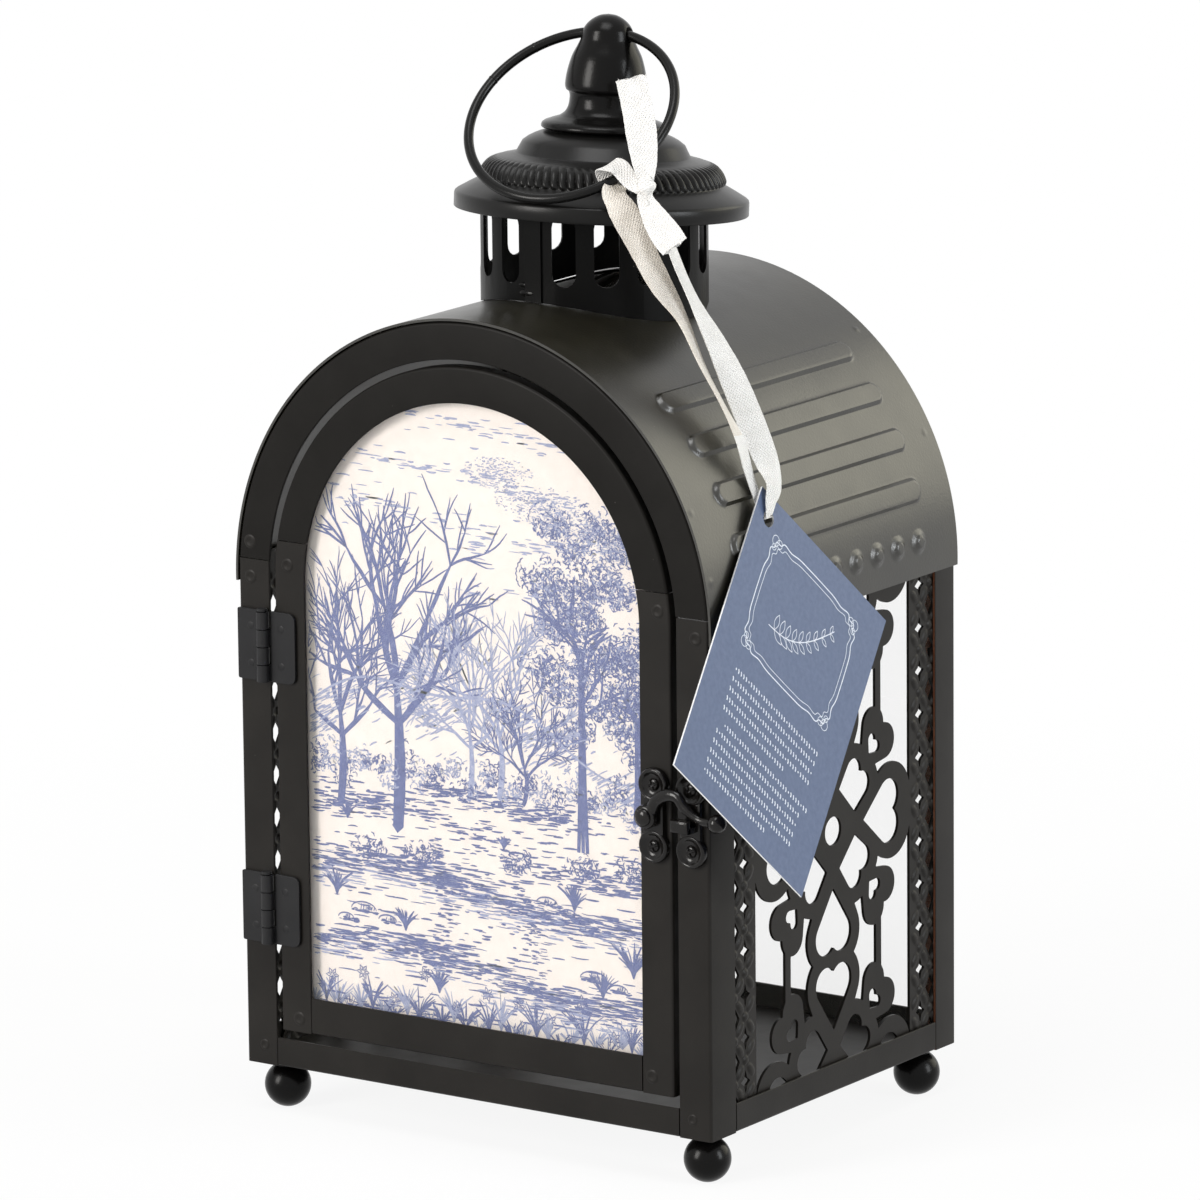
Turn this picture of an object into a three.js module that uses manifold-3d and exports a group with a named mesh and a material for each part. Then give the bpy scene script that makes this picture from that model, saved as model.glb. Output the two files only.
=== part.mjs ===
// A candle lantern of black painted steel sheet: an arched house on ball feet, a glazed front door
// on two butt hinges with a swan-neck latch, two die-cut side panels, a pressed barrel roof and a
// slotted chimney under a spun cap with a turned finial and a carrying ring.
// Millimetres. Modelled about the middle of the body, on the floor, +Z up, the door facing -Y; at the
// end the whole is moved so that the origin lies under the middle of its box.

import * as THREE from 'three';
import Module from 'manifold-3d';
import { mergeVertices } from 'three/addons/utils/BufferGeometryUtils.js';

const wasm = await Module();
wasm.setup();

// Driving dimensions of the body
const bodyWidth = 154;
const bodyDepth = 121;
const bodyBottom = 13.5;
const springHeight = 155.7;
const archDrop = 4.9; // the arches' centre lies this far below the seam with the posts
const sheet = 0.9;
const seat = 0.25; // clearance between pieces that touch

// Angle posts, rails and arches
const frontFlange = 10.2;
const sideFlangeFront = 11.9;
const rearFlange = 10;
const railHeight = 8;
const railLip = 7;
const plateSheet = 1;

// Barrel roof
const roofSheet = 0.7;
const skirtDrop = 1.8;
const ventInset = 5;
const ribCount = 4;
const ribLowest = 16.2; // degrees above the horizontal
const ribStep = 10.55; // degrees
const ribWidth = 7.2;
const ribEnd = 14.5; // from the front and rear edges of the roof
const ribHeight = 1;
const ribChamfer = 0.7;
const dotCount = 9;
const dotPitch = 10.3;
const dotAngle = 5.8; // degrees above the horizontal
const dotDiameter = 7;
const dotHeight = 1.3;

// Chimney
const chimneyRadius = 31;
const chimneySheet = 0.8;
const chimneyRise = 26.75;
const slotCount = 16;
const slotPitch = 21.9; // degrees
const slotFirst = -71; // degrees round from +X
const slotWidth = 6.8;
const slotBottom = 4.6; // above the crown of the roof
const slotTop = 24;
const lapWidth = 5;
const lapTurn = -87; // degrees round from +X

// Spun cap, as it sits: it hangs over the chimney's rim and leans a little to the rear
const capDrop = 6.3; // its lip below the rim
const capLean = 4.8; // degrees
const capShift = 1.4; // to the right and to the rear of the chimney's axis
const capRadius = 40;
const capSheet = 0.8;
const capLip = 4.5;
const brimRise = 3.6;
const brimInner = 33.1;
const gadroonRise = 5.9;
const gadroonInner = 28.3;
const shoulderRise = 1.4;
const shoulderInner = 23.6;
const domeRise = 7.9;
const fluteCount = 28;
const fluteDepth = 0.55;

// Turned finial
const flangeRadius = 17.2;
const neckRadius = 9.7;
const bulbRadius = 11;
const knobRadius = 6.9;
const finialHeight = 29.7;
const knobDrop = 5.2; // from the top of the finial to the ring's hole
const studRadius = 2;
const studLength = 12;
const nutHeight = 3.2;
const nutRadius = 4.2;

// Carrying ring
const ringRadius = 29.1;
const ringWire = 2.7;
const ringYaw = 7.2; // degrees, the hole's turn away from +X
const ringPlay = 0.35;

// Ball feet
const footRadius = 6.44;
const footFlat = 1.9;
const footInsetX = 7.2;
const footInsetY = 8.7;
const footNeck = 3.4;

// Side panels
const panelSheet = 0.8;
const fieldHalf = 38.05; // half the width of the open lattice
const flowerHeight = 86; // centre of the middle flower above the floor
const flowerPeriod = 71.5;
const bandWidth = 4.1;
const holePitch = 12;
const holeColumn = 5.2; // from the lattice to the first column of holes
const holeStep = 5;
const holeWidth = 4.6;
const holeHeight = 7;

// Door
const doorGap = 1.8; // between the door and the posts
const doorBottomGap = 2.7; // between the door and the front rail
const doorFace = 10;
const doorReturn = 4.2;
const doorSeam = 10.7; // seam of stile and arch above the arch's centre
const glassThickness = 2;
const printThickness = 0.4;
const paneClear = 0.5;
const clipWidth = 7;
const clipReach = 4;
const clipSheet = 0.6;
const clipHeights = [0.308 * springHeight, 0.784 * springHeight];

// Butt hinges
const hingeHeights = [0.3738 * springHeight, 0.8471 * springHeight];
const hingeLength = 19.7;
const knuckleCount = 4;
const knuckleRadius = 1.8;
const pinRadius = 0.8;
const hingeLeaf = 0.8;
const doorLeafReach = 10;
const leafCorner = 2.4;
const pinInset = 9.2; // hinge pin in from the body's left edge

// Latch
const latchHeight = 0.6506 * springHeight;
const latchPlate = 1.6;
const latchPlateHalf = 13;
const latchLobe = 4.6;
const latchWaist = 3.4;
const screwHole = 1.5;
const pivotRadius = 1.3;
const eyeRadius = 3.3;
const eyeThickness = 2.6;
const hookBall = 2.6;
const hookReach = 10.4; // from the keeper to the ball's centre
const nibLength = 4;
const keeperHeight = 3.6;
const keeperWall = 1.5;
const keeperGap = 2.9;

// Tag of card
const tagWidth = 63.5;
const tagLength = 88.9;
const tagThickness = 0.5;
const tagTilt = 12.7; // degrees from the vertical
const tagHole = 2.3;
const tagHoleInset = 6.2;
const tapeWidth = 8.2;
const tapeThickness = 0.5;
const tapeTurn = 45; // degrees round the ring from its lowest point
const tapeSag = 0.8; // the pivot's drop below the wire's middle line
const tapeClear = 0.35;
const wrapHalf = 6.5; // degrees along the wire
const knotOffset = 9.8;
const knotRadius = 2.8;

// Levels and planes that follow from them
const halfWidth = bodyWidth / 2;
const halfDepth = bodyDepth / 2;
const archCentre = springHeight - archDrop;
const roofInner = halfWidth + seat;
const roofOuter = roofInner + roofSheet;
const roofCrown = archCentre + roofOuter;
const chimneyTop = roofCrown + chimneyRise;
const doorRadius = halfWidth - frontFlange - doorGap;
const doorBottom = bodyBottom + railHeight + doorBottomGap;
const doorOpening = doorRadius - doorFace;
const frontPlane = -halfDepth;

// Materials
const blackSteel = new THREE.MeshStandardMaterial({ color: 0x1b1a19, roughness: 0.42, metalness: 0.25 });
const castBlack = new THREE.MeshStandardMaterial({ color: 0x1f1d1b, roughness: 0.33, metalness: 0.35 });
const blackWire = new THREE.MeshStandardMaterial({ color: 0x141414, roughness: 0.3, metalness: 0.4 });
const clearGlass = new THREE.MeshStandardMaterial({
  color: 0xeef4f2,
  roughness: 0.05,
  metalness: 0,
  transparent: true,
  opacity: 0.3,
});
const creamPrint = new THREE.MeshStandardMaterial({ color: 0xf1e6dc, roughness: 0.6, metalness: 0 });
const blueCard = new THREE.MeshStandardMaterial({ color: 0x7d8cab, roughness: 0.7, metalness: 0 });
const whiteTape = new THREE.MeshStandardMaterial({ color: 0xf2ede6, roughness: 0.85, metalness: 0 });
const zincSteel = new THREE.MeshStandardMaterial({ color: 0x6d6c69, roughness: 0.4, metalness: 0.8 });

// Solids

function toSolid(geometry) {
  const plain = geometry.clone();
  plain.deleteAttribute('normal');
  plain.deleteAttribute('uv');
  const merged = mergeVertices(plain, 1e-4);
  return new wasm.Manifold(
    new wasm.Mesh({
      numProp: 3,
      vertProperties: new Float32Array(merged.attributes.position.array),
      triVerts: new Uint32Array(merged.index.array),
    }),
  );
}

function toGeometry(solid) {
  const mesh = solid.getMesh();
  const geometry = new THREE.BufferGeometry();
  geometry.setAttribute('position', new THREE.BufferAttribute(mesh.vertProperties, 3));
  geometry.setIndex(new THREE.BufferAttribute(mesh.triVerts, 1));
  geometry.computeVertexNormals();
  return geometry;
}

function join(...geometries) {
  return toGeometry(geometries.map(toSolid).reduce((all, next) => all.add(next)));
}

function cut(geometry, ...tools) {
  return toGeometry(tools.map(toSolid).reduce((left, next) => left.subtract(next), toSolid(geometry)));
}

function box(x0, x1, y0, y1, z0, z1) {
  return new THREE.BoxGeometry(x1 - x0, y1 - y0, z1 - z0).translate(
    (x0 + x1) / 2,
    (y0 + y1) / 2,
    (z0 + z1) / 2,
  );
}

function extrude(shape, depth, curveSegments = 12) {
  return new THREE.ExtrudeGeometry(shape, { depth, bevelEnabled: false, curveSegments });
}

// A profile drawn in X and Z, its front face at y and its thickness going back.
function frontSheet(shape, y, thickness, curveSegments) {
  return extrude(shape, thickness, curveSegments)
    .rotateX(Math.PI / 2)
    .translate(0, y + thickness, 0);
}

// A profile drawn in Y and Z, from x to x + thickness.
function sideSheet(shape, x, thickness, curveSegments) {
  const turn = new THREE.Matrix4().makeBasis(
    new THREE.Vector3(0, 1, 0),
    new THREE.Vector3(0, 0, 1),
    new THREE.Vector3(1, 0, 0),
  );
  return extrude(shape, thickness, curveSegments).applyMatrix4(turn).translate(x, 0, 0);
}

// A solid of revolution about Z from points of radius and height.
function turned(points, segments) {
  const profile = points.map(([r, z]) => new THREE.Vector2(r, z));
  return new THREE.LatheGeometry(profile, segments).rotateX(Math.PI / 2);
}

function rod(radius, z0, z1, segments = 16) {
  return new THREE.CylinderGeometry(radius, radius, z1 - z0, segments)
    .rotateX(Math.PI / 2)
    .translate(0, 0, (z0 + z1) / 2);
}

function polygon(points) {
  return new THREE.Shape(points.map(([x, y]) => new THREE.Vector2(x, y)));
}

function mirrorX(geometry) {
  return toGeometry(toSolid(geometry).mirror([1, 0, 0]));
}

const lantern = new THREE.Group();

function add(name, geometry, material, parent = lantern) {
  const mesh = new THREE.Mesh(geometry, material);
  mesh.name = name;
  parent.add(mesh);
  return mesh;
}

// Angle posts: one flange on the front or rear, one on the side.
function anglePost(faceFlange, sideFlange) {
  const outline = polygon([
    [0, 0],
    [faceFlange, 0],
    [faceFlange, sheet],
    [sheet, sheet],
    [sheet, sideFlange],
    [0, sideFlange],
  ]);
  return extrude(outline, springHeight - seat - bodyBottom).translate(0, 0, bodyBottom);
}

function addPosts() {
  const front = anglePost(frontFlange, sideFlangeFront).translate(-halfWidth, -halfDepth, 0);
  const rear = toGeometry(toSolid(anglePost(rearFlange, rearFlange)).mirror([0, 1, 0])).translate(
    -halfWidth,
    halfDepth,
    0,
  );
  add('front_left_post', front, blackSteel);
  add('front_right_post', mirrorX(front), blackSteel);
  add('rear_left_post', rear, blackSteel);
  add('rear_right_post', mirrorX(rear), blackSteel);
}

// Bottom rails: an upright face and a lip that carries the base plate.
function railProfile() {
  return polygon([
    [0, 0],
    [railLip, 0],
    [railLip, sheet],
    [sheet, sheet],
    [sheet, railHeight],
    [0, railHeight],
  ]);
}

function addRails() {
  const lengthX = bodyWidth - 2 * (frontFlange + seat);
  const frontRail = extrude(railProfile(), lengthX)
    .applyMatrix4(
      new THREE.Matrix4().makeBasis(
        new THREE.Vector3(0, 1, 0),
        new THREE.Vector3(0, 0, 1),
        new THREE.Vector3(1, 0, 0),
      ),
    )
    .translate(-lengthX / 2, -halfDepth, bodyBottom);
  add('front_rail', frontRail, blackSteel);
  add('rear_rail', frontRail.clone().rotateZ(Math.PI), blackSteel);
  const sideStart = -halfDepth + sideFlangeFront + seat;
  const sideEnd = halfDepth - rearFlange - seat;
  const sideRail = extrude(railProfile(), sideEnd - sideStart)
    .applyMatrix4(
      new THREE.Matrix4().makeBasis(
        new THREE.Vector3(1, 0, 0),
        new THREE.Vector3(0, 0, 1),
        new THREE.Vector3(0, -1, 0),
      ),
    )
    .translate(-halfWidth, sideEnd, bodyBottom);
  add('left_rail', sideRail, blackSteel);
  add('right_rail', mirrorX(sideRail), blackSteel);
}

function addBasePlate() {
  const x = halfWidth - sheet - panelSheet - 3 * seat;
  const front = -halfDepth + sheet + seat;
  const rear = halfDepth - sheet - glassThickness - 3 * seat;
  const z = bodyBottom + sheet + seat;
  add('base_plate', box(-x, x, front, rear, z, z + plateSheet), blackSteel);
}

// Arches: a flat face and a flange round its outer edge, cut level at the seam with the uprights.
function angleArch(outer, face, depth, seam, segments) {
  const section = [
    [outer, 0],
    [outer, depth],
    [outer - sheet, depth],
    [outer - sheet, sheet],
    [outer - face, sheet],
    [outer - face, 0],
  ];
  const positions = [];
  const index = [];
  const count = section.length;
  for (let i = 0; i <= segments; i++) {
    for (const [r, y] of section) {
      const start = Math.asin((seam - archCentre) / r);
      const a = start + ((Math.PI - 2 * start) * i) / segments;
      positions.push(r * Math.cos(a), frontPlane + y, archCentre + r * Math.sin(a));
    }
  }
  for (let i = 0; i < segments; i++) {
    for (let j = 0; j < count; j++) {
      const a = i * count + j;
      const b = i * count + ((j + 1) % count);
      index.push(a, a + count, b, b, a + count, b + count);
    }
  }
  const last = segments * count;
  for (const [a, b, c] of [[0, 1, 2], [0, 2, 3], [0, 3, 5], [3, 4, 5]]) {
    index.push(a, b, c, last + a, last + c, last + b);
  }
  return closedGeometry(positions, index);
}

function addArches() {
  const front = angleArch(halfWidth, frontFlange, sideFlangeFront, springHeight, 32);
  add('front_arch', front, blackSteel);
  const rear = angleArch(halfWidth, rearFlange, rearFlange, springHeight, 32).rotateZ(Math.PI);
  add('rear_arch', rear, blackSteel);
}

// The barrel roof with its skirts, pressed ribs and round bosses.
function onRoof(geometry, angle, y, radius) {
  const radial = new THREE.Vector3(Math.cos(angle), 0, Math.sin(angle));
  const along = new THREE.Vector3(0, 1, 0);
  const across = new THREE.Vector3().crossVectors(along, radial);
  const place = new THREE.Matrix4().makeBasis(across, along, radial);
  place.setPosition(radial.multiplyScalar(radius).add(new THREE.Vector3(0, y, archCentre)));
  return geometry.applyMatrix4(place);
}

function capsule(width, length) {
  const r = width / 2;
  const shape = new THREE.Shape();
  shape.absarc(0, length / 2 - r, r, 0, Math.PI, false);
  shape.absarc(0, r - length / 2, r, Math.PI, 2 * Math.PI, false);
  shape.closePath();
  return shape;
}

// A pressed form that narrows from its foot, sunk in the sheet, to its top.
function pressed(foot, top, height) {
  const low = foot.getPoints(4).slice(0, -1);
  const high = top.getPoints(4).slice(0, -1);
  const count = low.length;
  const positions = [];
  const index = [];
  low.forEach((p) => positions.push(p.x, p.y, -roofSheet / 2));
  high.forEach((p) => positions.push(p.x, p.y, height));
  for (let i = 0; i < count; i++) {
    const next = (i + 1) % count;
    index.push(i, next, i + count, next, next + count, i + count);
  }
  for (let i = 1; i < count - 1; i++) {
    index.push(0, i + 1, i, count, count + i, count + i + 1);
  }
  return closedGeometry(positions, index);
}

function roofRib(angle) {
  const length = bodyDepth - 2 * ribEnd;
  const foot = capsule(ribWidth, length);
  const top = capsule(ribWidth - 2 * ribChamfer, length - 2 * ribChamfer);
  return onRoof(pressed(foot, top, ribHeight), angle, 0, roofOuter);
}

function roofDot(angle, y) {
  const r = dotDiameter / 2;
  const dome = turned(
    [
      [0, -roofSheet / 2],
      [r, -roofSheet / 2],
      [r * 0.55, dotHeight],
      [0, dotHeight],
    ],
    7,
  );
  return onRoof(dome, angle, y, roofOuter);
}

function addRoof() {
  const section = new THREE.Shape();
  section.moveTo(roofInner, archCentre - skirtDrop);
  section.lineTo(roofOuter, archCentre - skirtDrop);
  section.absarc(0, archCentre, roofOuter, 0, Math.PI, false);
  section.lineTo(-roofOuter, archCentre - skirtDrop);
  section.lineTo(-roofInner, archCentre - skirtDrop);
  section.absarc(0, archCentre, roofInner, Math.PI, 0, true);
  section.closePath();
  let roof = toSolid(frontSheet(section, -halfDepth, bodyDepth, 36));
  const radians = Math.PI / 180;
  for (const side of [0, 1]) {
    const turn = (degrees) => (side ? 180 - degrees : degrees) * radians;
    for (let i = 0; i < ribCount; i++) {
      const angle = turn(ribLowest + i * ribStep);
      roof = roof.add(toSolid(roofRib(angle)));
    }
    for (let i = 0; i < dotCount; i++) {
      const y = (i - (dotCount - 1) / 2) * dotPitch;
      roof = roof.add(toSolid(roofDot(turn(dotAngle), y)));
    }
  }
  const vent = rod(chimneyRadius - ventInset, archCentre, roofCrown + 1, 24);
  add('roof', toGeometry(roof.subtract(toSolid(vent))), blackSteel);
}

// The chimney: a lapped tube, its foot cut to the roof, with round-ended slots.
function addChimney() {
  const radians = Math.PI / 180;
  const low = archCentre + Math.sqrt(roofOuter ** 2 - chimneyRadius ** 2) - 2;
  const tube = cut(
    rod(chimneyRadius, low, chimneyTop, 48),
    rod(chimneyRadius - chimneySheet, low - 1, chimneyTop + 1, 48),
  );
  const lap = box(
    chimneyRadius - chimneySheet / 2,
    chimneyRadius + 0.6,
    -lapWidth / 2,
    lapWidth / 2,
    low,
    slotBottom + roofCrown + slotTop,
  ).rotateZ(lapTurn * radians);
  const roofBody = new THREE.CylinderGeometry(roofOuter + seat, roofOuter + seat, bodyDepth, 72).translate(
    0,
    0,
    archCentre,
  );
  let chimney = toSolid(tube).add(toSolid(lap)).subtract(toSolid(roofBody));
  for (let i = 0; i < slotCount; i++) {
    const slot = extrude(capsule(slotWidth, slotTop - slotBottom), chimneyRadius, 4)
      .rotateX(Math.PI / 2)
      .rotateZ(Math.PI / 2 + (slotFirst + i * slotPitch) * radians);
    const z = roofCrown + (slotTop + slotBottom) / 2;
    const angle = (slotFirst + i * slotPitch) * radians;
    const start = chimneyRadius / 2;
    slot.translate(start * Math.cos(angle), start * Math.sin(angle), z);
    chimney = chimney.subtract(toSolid(slot));
  }
  add('chimney', toGeometry(chimney), blackSteel);
}

// The spun cap: profile heights are measured from the bottom of its lip.
function capProfile() {
  const brimTop = capLip + brimRise;
  const gadroonTop = brimTop + gadroonRise;
  const shoulderTop = gadroonTop + shoulderRise;
  const top = shoulderTop + domeRise;
  const crownHole = studRadius + seat;
  const dome = (r) => {
    const share = 1 - r / shoulderInner;
    return shoulderTop + domeRise * Math.sqrt(Math.max(0, 1 - (1 - share) ** 2.2));
  };
  return {
    top,
    outer: [
      [capRadius, 0],
      [capRadius, capLip - 0.8],
      [capRadius - 0.8, capLip],
      [brimInner, brimTop],
      [brimInner - 0.9, brimTop + 0.42 * gadroonRise],
      [gadroonInner + 1.9, brimTop + 0.8 * gadroonRise],
      [gadroonInner, gadroonTop],
      [shoulderInner, shoulderTop],
      [shoulderInner * 0.93, dome(shoulderInner * 0.93)],
      [shoulderInner * 0.78, dome(shoulderInner * 0.78)],
      [shoulderInner * 0.5, dome(shoulderInner * 0.5)],
      [crownHole, dome(0)],
    ],
    inner: [
      [crownHole, dome(0) - capSheet],
      [shoulderInner * 0.5, dome(shoulderInner * 0.5) - capSheet],
      [shoulderInner * 0.78 - 0.4, dome(shoulderInner * 0.78) - capSheet],
      [shoulderInner - capSheet, shoulderTop - capSheet * 0.8],
      [gadroonInner - 0.5, gadroonTop - capSheet],
      [brimInner - 1.5, brimTop - 0.5],
      [capRadius - capSheet, capLip - capSheet - 0.4],
      [capRadius - capSheet, 0],
    ],
  };
}

const cap = capProfile();
const capBase = chimneyTop - capDrop;
const crown = new THREE.Group();
crown.position.set(capShift, capShift, capBase);
crown.rotation.x = -THREE.MathUtils.degToRad(capLean);
crown.updateMatrix();
lantern.add(crown);

function addCap() {
  const geometry = turned([...cap.outer, ...cap.inner, cap.outer[0]], 2 * fluteCount);
  const position = geometry.attributes.position;
  const point = new THREE.Vector3();
  const step = Math.PI / fluteCount;
  for (let i = 0; i < position.count; i++) {
    point.fromBufferAttribute(position, i);
    const radius = Math.hypot(point.x, point.y);
    const isFlute = cap.outer
      .slice(4, 6)
      .some(([r, z]) => Math.abs(r - radius) < 1e-3 && Math.abs(z - point.z) < 1e-3);
    const turn = Math.round(Math.atan2(point.y, point.x) / step);
    if (isFlute && turn % 2 === 0) {
      point.multiplyScalar((radius + fluteDepth) / radius);
      position.setXY(i, point.x, point.y);
    }
  }
  add('cap', geometry, blackSteel, crown);
}

// The finial: heights are measured from its seat on the cap.
function finialProfile() {
  const h = finialHeight;
  return [
    [0, -studLength],
    [studRadius, -studLength],
    [studRadius, 0],
    [bulbRadius, 0],
    [flangeRadius - 1.6, -1.3],
    [flangeRadius - 0.4, -1.5],
    [flangeRadius, -0.9],
    [flangeRadius - 0.3, 0],
    [flangeRadius - 4.8, 1.7],
    [neckRadius + 1, 3.2],
    [neckRadius + 0.1, 5],
    [neckRadius, 7.4],
    [neckRadius + 0.3, 8.6],
    [bulbRadius - 0.3, 9.1],
    [bulbRadius, 10.3],
    [bulbRadius - 0.2, 12.8],
    [bulbRadius - 0.7, 15.5],
    [bulbRadius - 1.6, 18.5],
    [knobRadius + 1.2, 21],
    [knobRadius + 0.3, 23],
    [knobRadius, h - 5.4],
    [knobRadius - 0.6, h - 3.9],
    [knobRadius - 2.1, h - 2.1],
    [knobRadius - 4.6, h - 0.5],
    [0, h],
  ];
}

const finialBase = cap.top + seat;
const ringAxisHeight = finialBase + finialHeight - knobDrop;

// Where the ring lies at rest: it leans to the front until its wire is on the cap's brim.
const ringAxis = new THREE.Vector3(1, 0, 0).applyAxisAngle(
  new THREE.Vector3(0, 0, 1),
  THREE.MathUtils.degToRad(ringYaw),
);
const ringFront = new THREE.Vector3().crossVectors(ringAxis, new THREE.Vector3(0, 0, 1));
const ringSagitta = knobRadius ** 2 / (2 * ringRadius);
const ringReach = 2 * ringRadius - ringSagitta / 2;

function ringLean() {
  const brimSlope = Math.atan2(brimRise, capRadius - 0.8 - brimInner);
  const clear = ringWire / 2 + seat;
  // The lowest point of the wire's centre line lies on a line parallel to the brim.
  const edgeR = capRadius - 0.8 + clear * Math.sin(brimSlope);
  const edgeZ = capLip + clear * Math.cos(brimSlope) - ringAxisHeight;
  const normalR = Math.sin(brimSlope);
  const normalZ = Math.cos(brimSlope);
  const distance = edgeR * normalR + edgeZ * normalZ;
  // Solve reach * (sin(a) * normalR - cos(a) * normalZ) = distance for the lean a.
  return Math.asin(distance / ringReach) + Math.atan2(normalZ, normalR);
}

const lean = ringLean();
const ringDown = ringFront
  .clone()
  .multiplyScalar(Math.sin(lean))
  .add(new THREE.Vector3(0, 0, -Math.cos(lean)));

function addFinial() {
  const hole = rod(ringWire / 2 + ringSagitta / 2 + ringPlay, -knobRadius * 2, knobRadius * 2, 12)
    .rotateY(Math.PI / 2)
    .rotateZ(THREE.MathUtils.degToRad(ringYaw))
    .translate(0, 0, ringAxisHeight);
  const body = turned(finialProfile(), 20).translate(0, 0, finialBase);
  add('finial', cut(body, hole), castBlack, crown);
  const nutTop = cap.top - capSheet - seat;
  const nut = cut(
    rod(nutRadius, nutTop - nutHeight, nutTop, 6),
    rod(studRadius + seat, nutTop - nutHeight - 1, nutTop + 1, 12),
  );
  add('finial_nut', nut, zincSteel, crown);
}

function ringCentre() {
  return ringDown
    .clone()
    .multiplyScalar(ringRadius - ringSagitta / 2)
    .add(new THREE.Vector3(0, 0, ringAxisHeight));
}

function ringPlacement() {
  const normal = new THREE.Vector3().crossVectors(ringAxis, ringDown);
  const place = new THREE.Matrix4().makeBasis(ringAxis, ringDown, normal);
  return place.setPosition(ringCentre());
}

function addRing() {
  const torus = new THREE.TorusGeometry(ringRadius, ringWire / 2, 6, 44);
  add('carrying_ring', torus.applyMatrix4(ringPlacement()), blackWire, crown);
}

// Ball feet, flattened a little where they stand.
function addFeet() {
  const centre = Math.sqrt(footRadius ** 2 - footFlat ** 2);
  const from = Math.asin(-centre / footRadius);
  const neckAt = Math.acos(footNeck / footRadius);
  const steps = 6;
  const profile = [[0, 0]];
  for (let i = 0; i <= steps; i++) {
    const a = from + ((neckAt - from) * i) / steps;
    profile.push([footRadius * Math.cos(a), centre + footRadius * Math.sin(a)]);
  }
  profile.push([footNeck, bodyBottom - seat], [0, bodyBottom - seat]);
  const names = ['front_left_foot', 'front_right_foot', 'rear_left_foot', 'rear_right_foot'];
  names.forEach((name, i) => {
    const x = (i % 2 ? 1 : -1) * (halfWidth - footInsetX);
    const y = (i < 2 ? -1 : 1) * (halfDepth - footInsetY);
    add(name, turned(profile, 12).translate(x, y, 0), blackSteel);
  });
}

// A heart drawn along +X: two straight sides from its tip run into two round lobes.
function heart({ tip, tipHalf = 0, lobe, lobeAt, lobeSide, steps = 4 }) {
  const dx = lobeAt - tip;
  const dy = lobeSide - tipHalf;
  const reach = Math.hypot(dx, dy);
  const side = Math.atan2(dy, dx) + Math.asin(lobe / reach);
  const start = side + Math.PI / 2;
  const cleft = Math.atan2(-lobeSide, Math.sqrt(lobe ** 2 - lobeSide ** 2));
  const points = [[tip, tipHalf]];
  for (let i = 0; i <= steps; i++) {
    const a = start + ((cleft - start) * i) / steps;
    points.push([lobeAt + lobe * Math.cos(a), lobeSide + lobe * Math.sin(a)]);
  }
  const mirrored = points
    .slice(tipHalf ? 0 : 1, -1)
    .reverse()
    .map(([x, y]) => [x, -y]);
  return [...points, ...mirrored];
}

function turnPoints(points, angle, y, z) {
  const c = Math.cos(angle);
  const s = Math.sin(angle);
  return points.map(([a, b]) => [y + a * c - b * s, z + a * s + b * c]);
}

// The three hearts of a flower and the small heart in each leaf, with the bands round them.
const sideHeart = { tip: 15, lobe: 5, lobeAt: 27.5, lobeSide: 4 };
const axisHeart = { tip: 15.9, lobe: 5, lobeAt: 29.1, lobeSide: 3.75 };
const cornerHeart = { tip: 9.9, tipHalf: 5.6, lobe: 3.6, lobeAt: 17.5, lobeSide: 3 };
const leafHeart = { tip: 25.2, lobe: 1.75, lobeAt: 28.9, lobeSide: 1.55, steps: 2 };
const leafBand = { tip: 19, lobe: 5, lobeAt: 32.2, lobeSide: 3.8, steps: 4 };
const barFromAxis = 22.4;
const barWidth = 2.6;
const barEnd = 28;

function bandRound(form, tip, reach = 0) {
  return { ...form, tip, lobe: form.lobe + bandWidth + reach * 0.36, lobeAt: form.lobeAt + reach, steps: 5 };
}

function flowerParts(z) {
  const bands = [];
  const holes = [];
  const quarter = Math.PI / 2;
  for (let i = 0; i < 4; i++) {
    const upright = i % 2 === 1;
    const form = upright ? axisHeart : sideHeart;
    const reach = upright ? 0 : 1.1;
    bands.push(turnPoints(heart(bandRound(form, 2, reach)), i * quarter, 0, z));
    holes.push(turnPoints(heart(form), i * quarter, 0, z));
    const diagonal = (i + 0.5) * quarter;
    bands.push(turnPoints(heart(bandRound(cornerHeart, 5)), diagonal, 0, z));
    holes.push(turnPoints(heart(cornerHeart), diagonal, 0, z));
    bands.push(turnPoints(heart(leafBand), diagonal, 0, z));
    holes.push(turnPoints(heart(leafHeart), diagonal, 0, z));
  }
  const centreHole = [];
  for (let i = 0; i < 12; i++) {
    centreHole.push([4.3 * Math.cos((i * Math.PI) / 6), z + 4.3 * Math.sin((i * Math.PI) / 6)]);
  }
  holes.push(centreHole);
  return { bands, holes };
}

function rectangle(y0, y1, z0, z1) {
  return [
    [y0, z0],
    [y1, z0],
    [y1, z1],
    [y0, z1],
  ];
}

// A four-pointed hole with hollow sides.
function starHole(y, z, hollow) {
  const a = holeWidth / 2;
  const b = holeHeight / 2;
  const points = [];
  for (let i = 0; i < 4; i++) {
    const turn = (i * Math.PI) / 2;
    points.push([y + a * Math.cos(turn), z + b * Math.sin(turn)]);
    if (hollow) {
      const half = turn + Math.PI / 4;
      points.push([y + 0.42 * a * Math.cos(half), z + 0.42 * b * Math.sin(half)]);
    }
  }
  return points;
}

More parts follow.
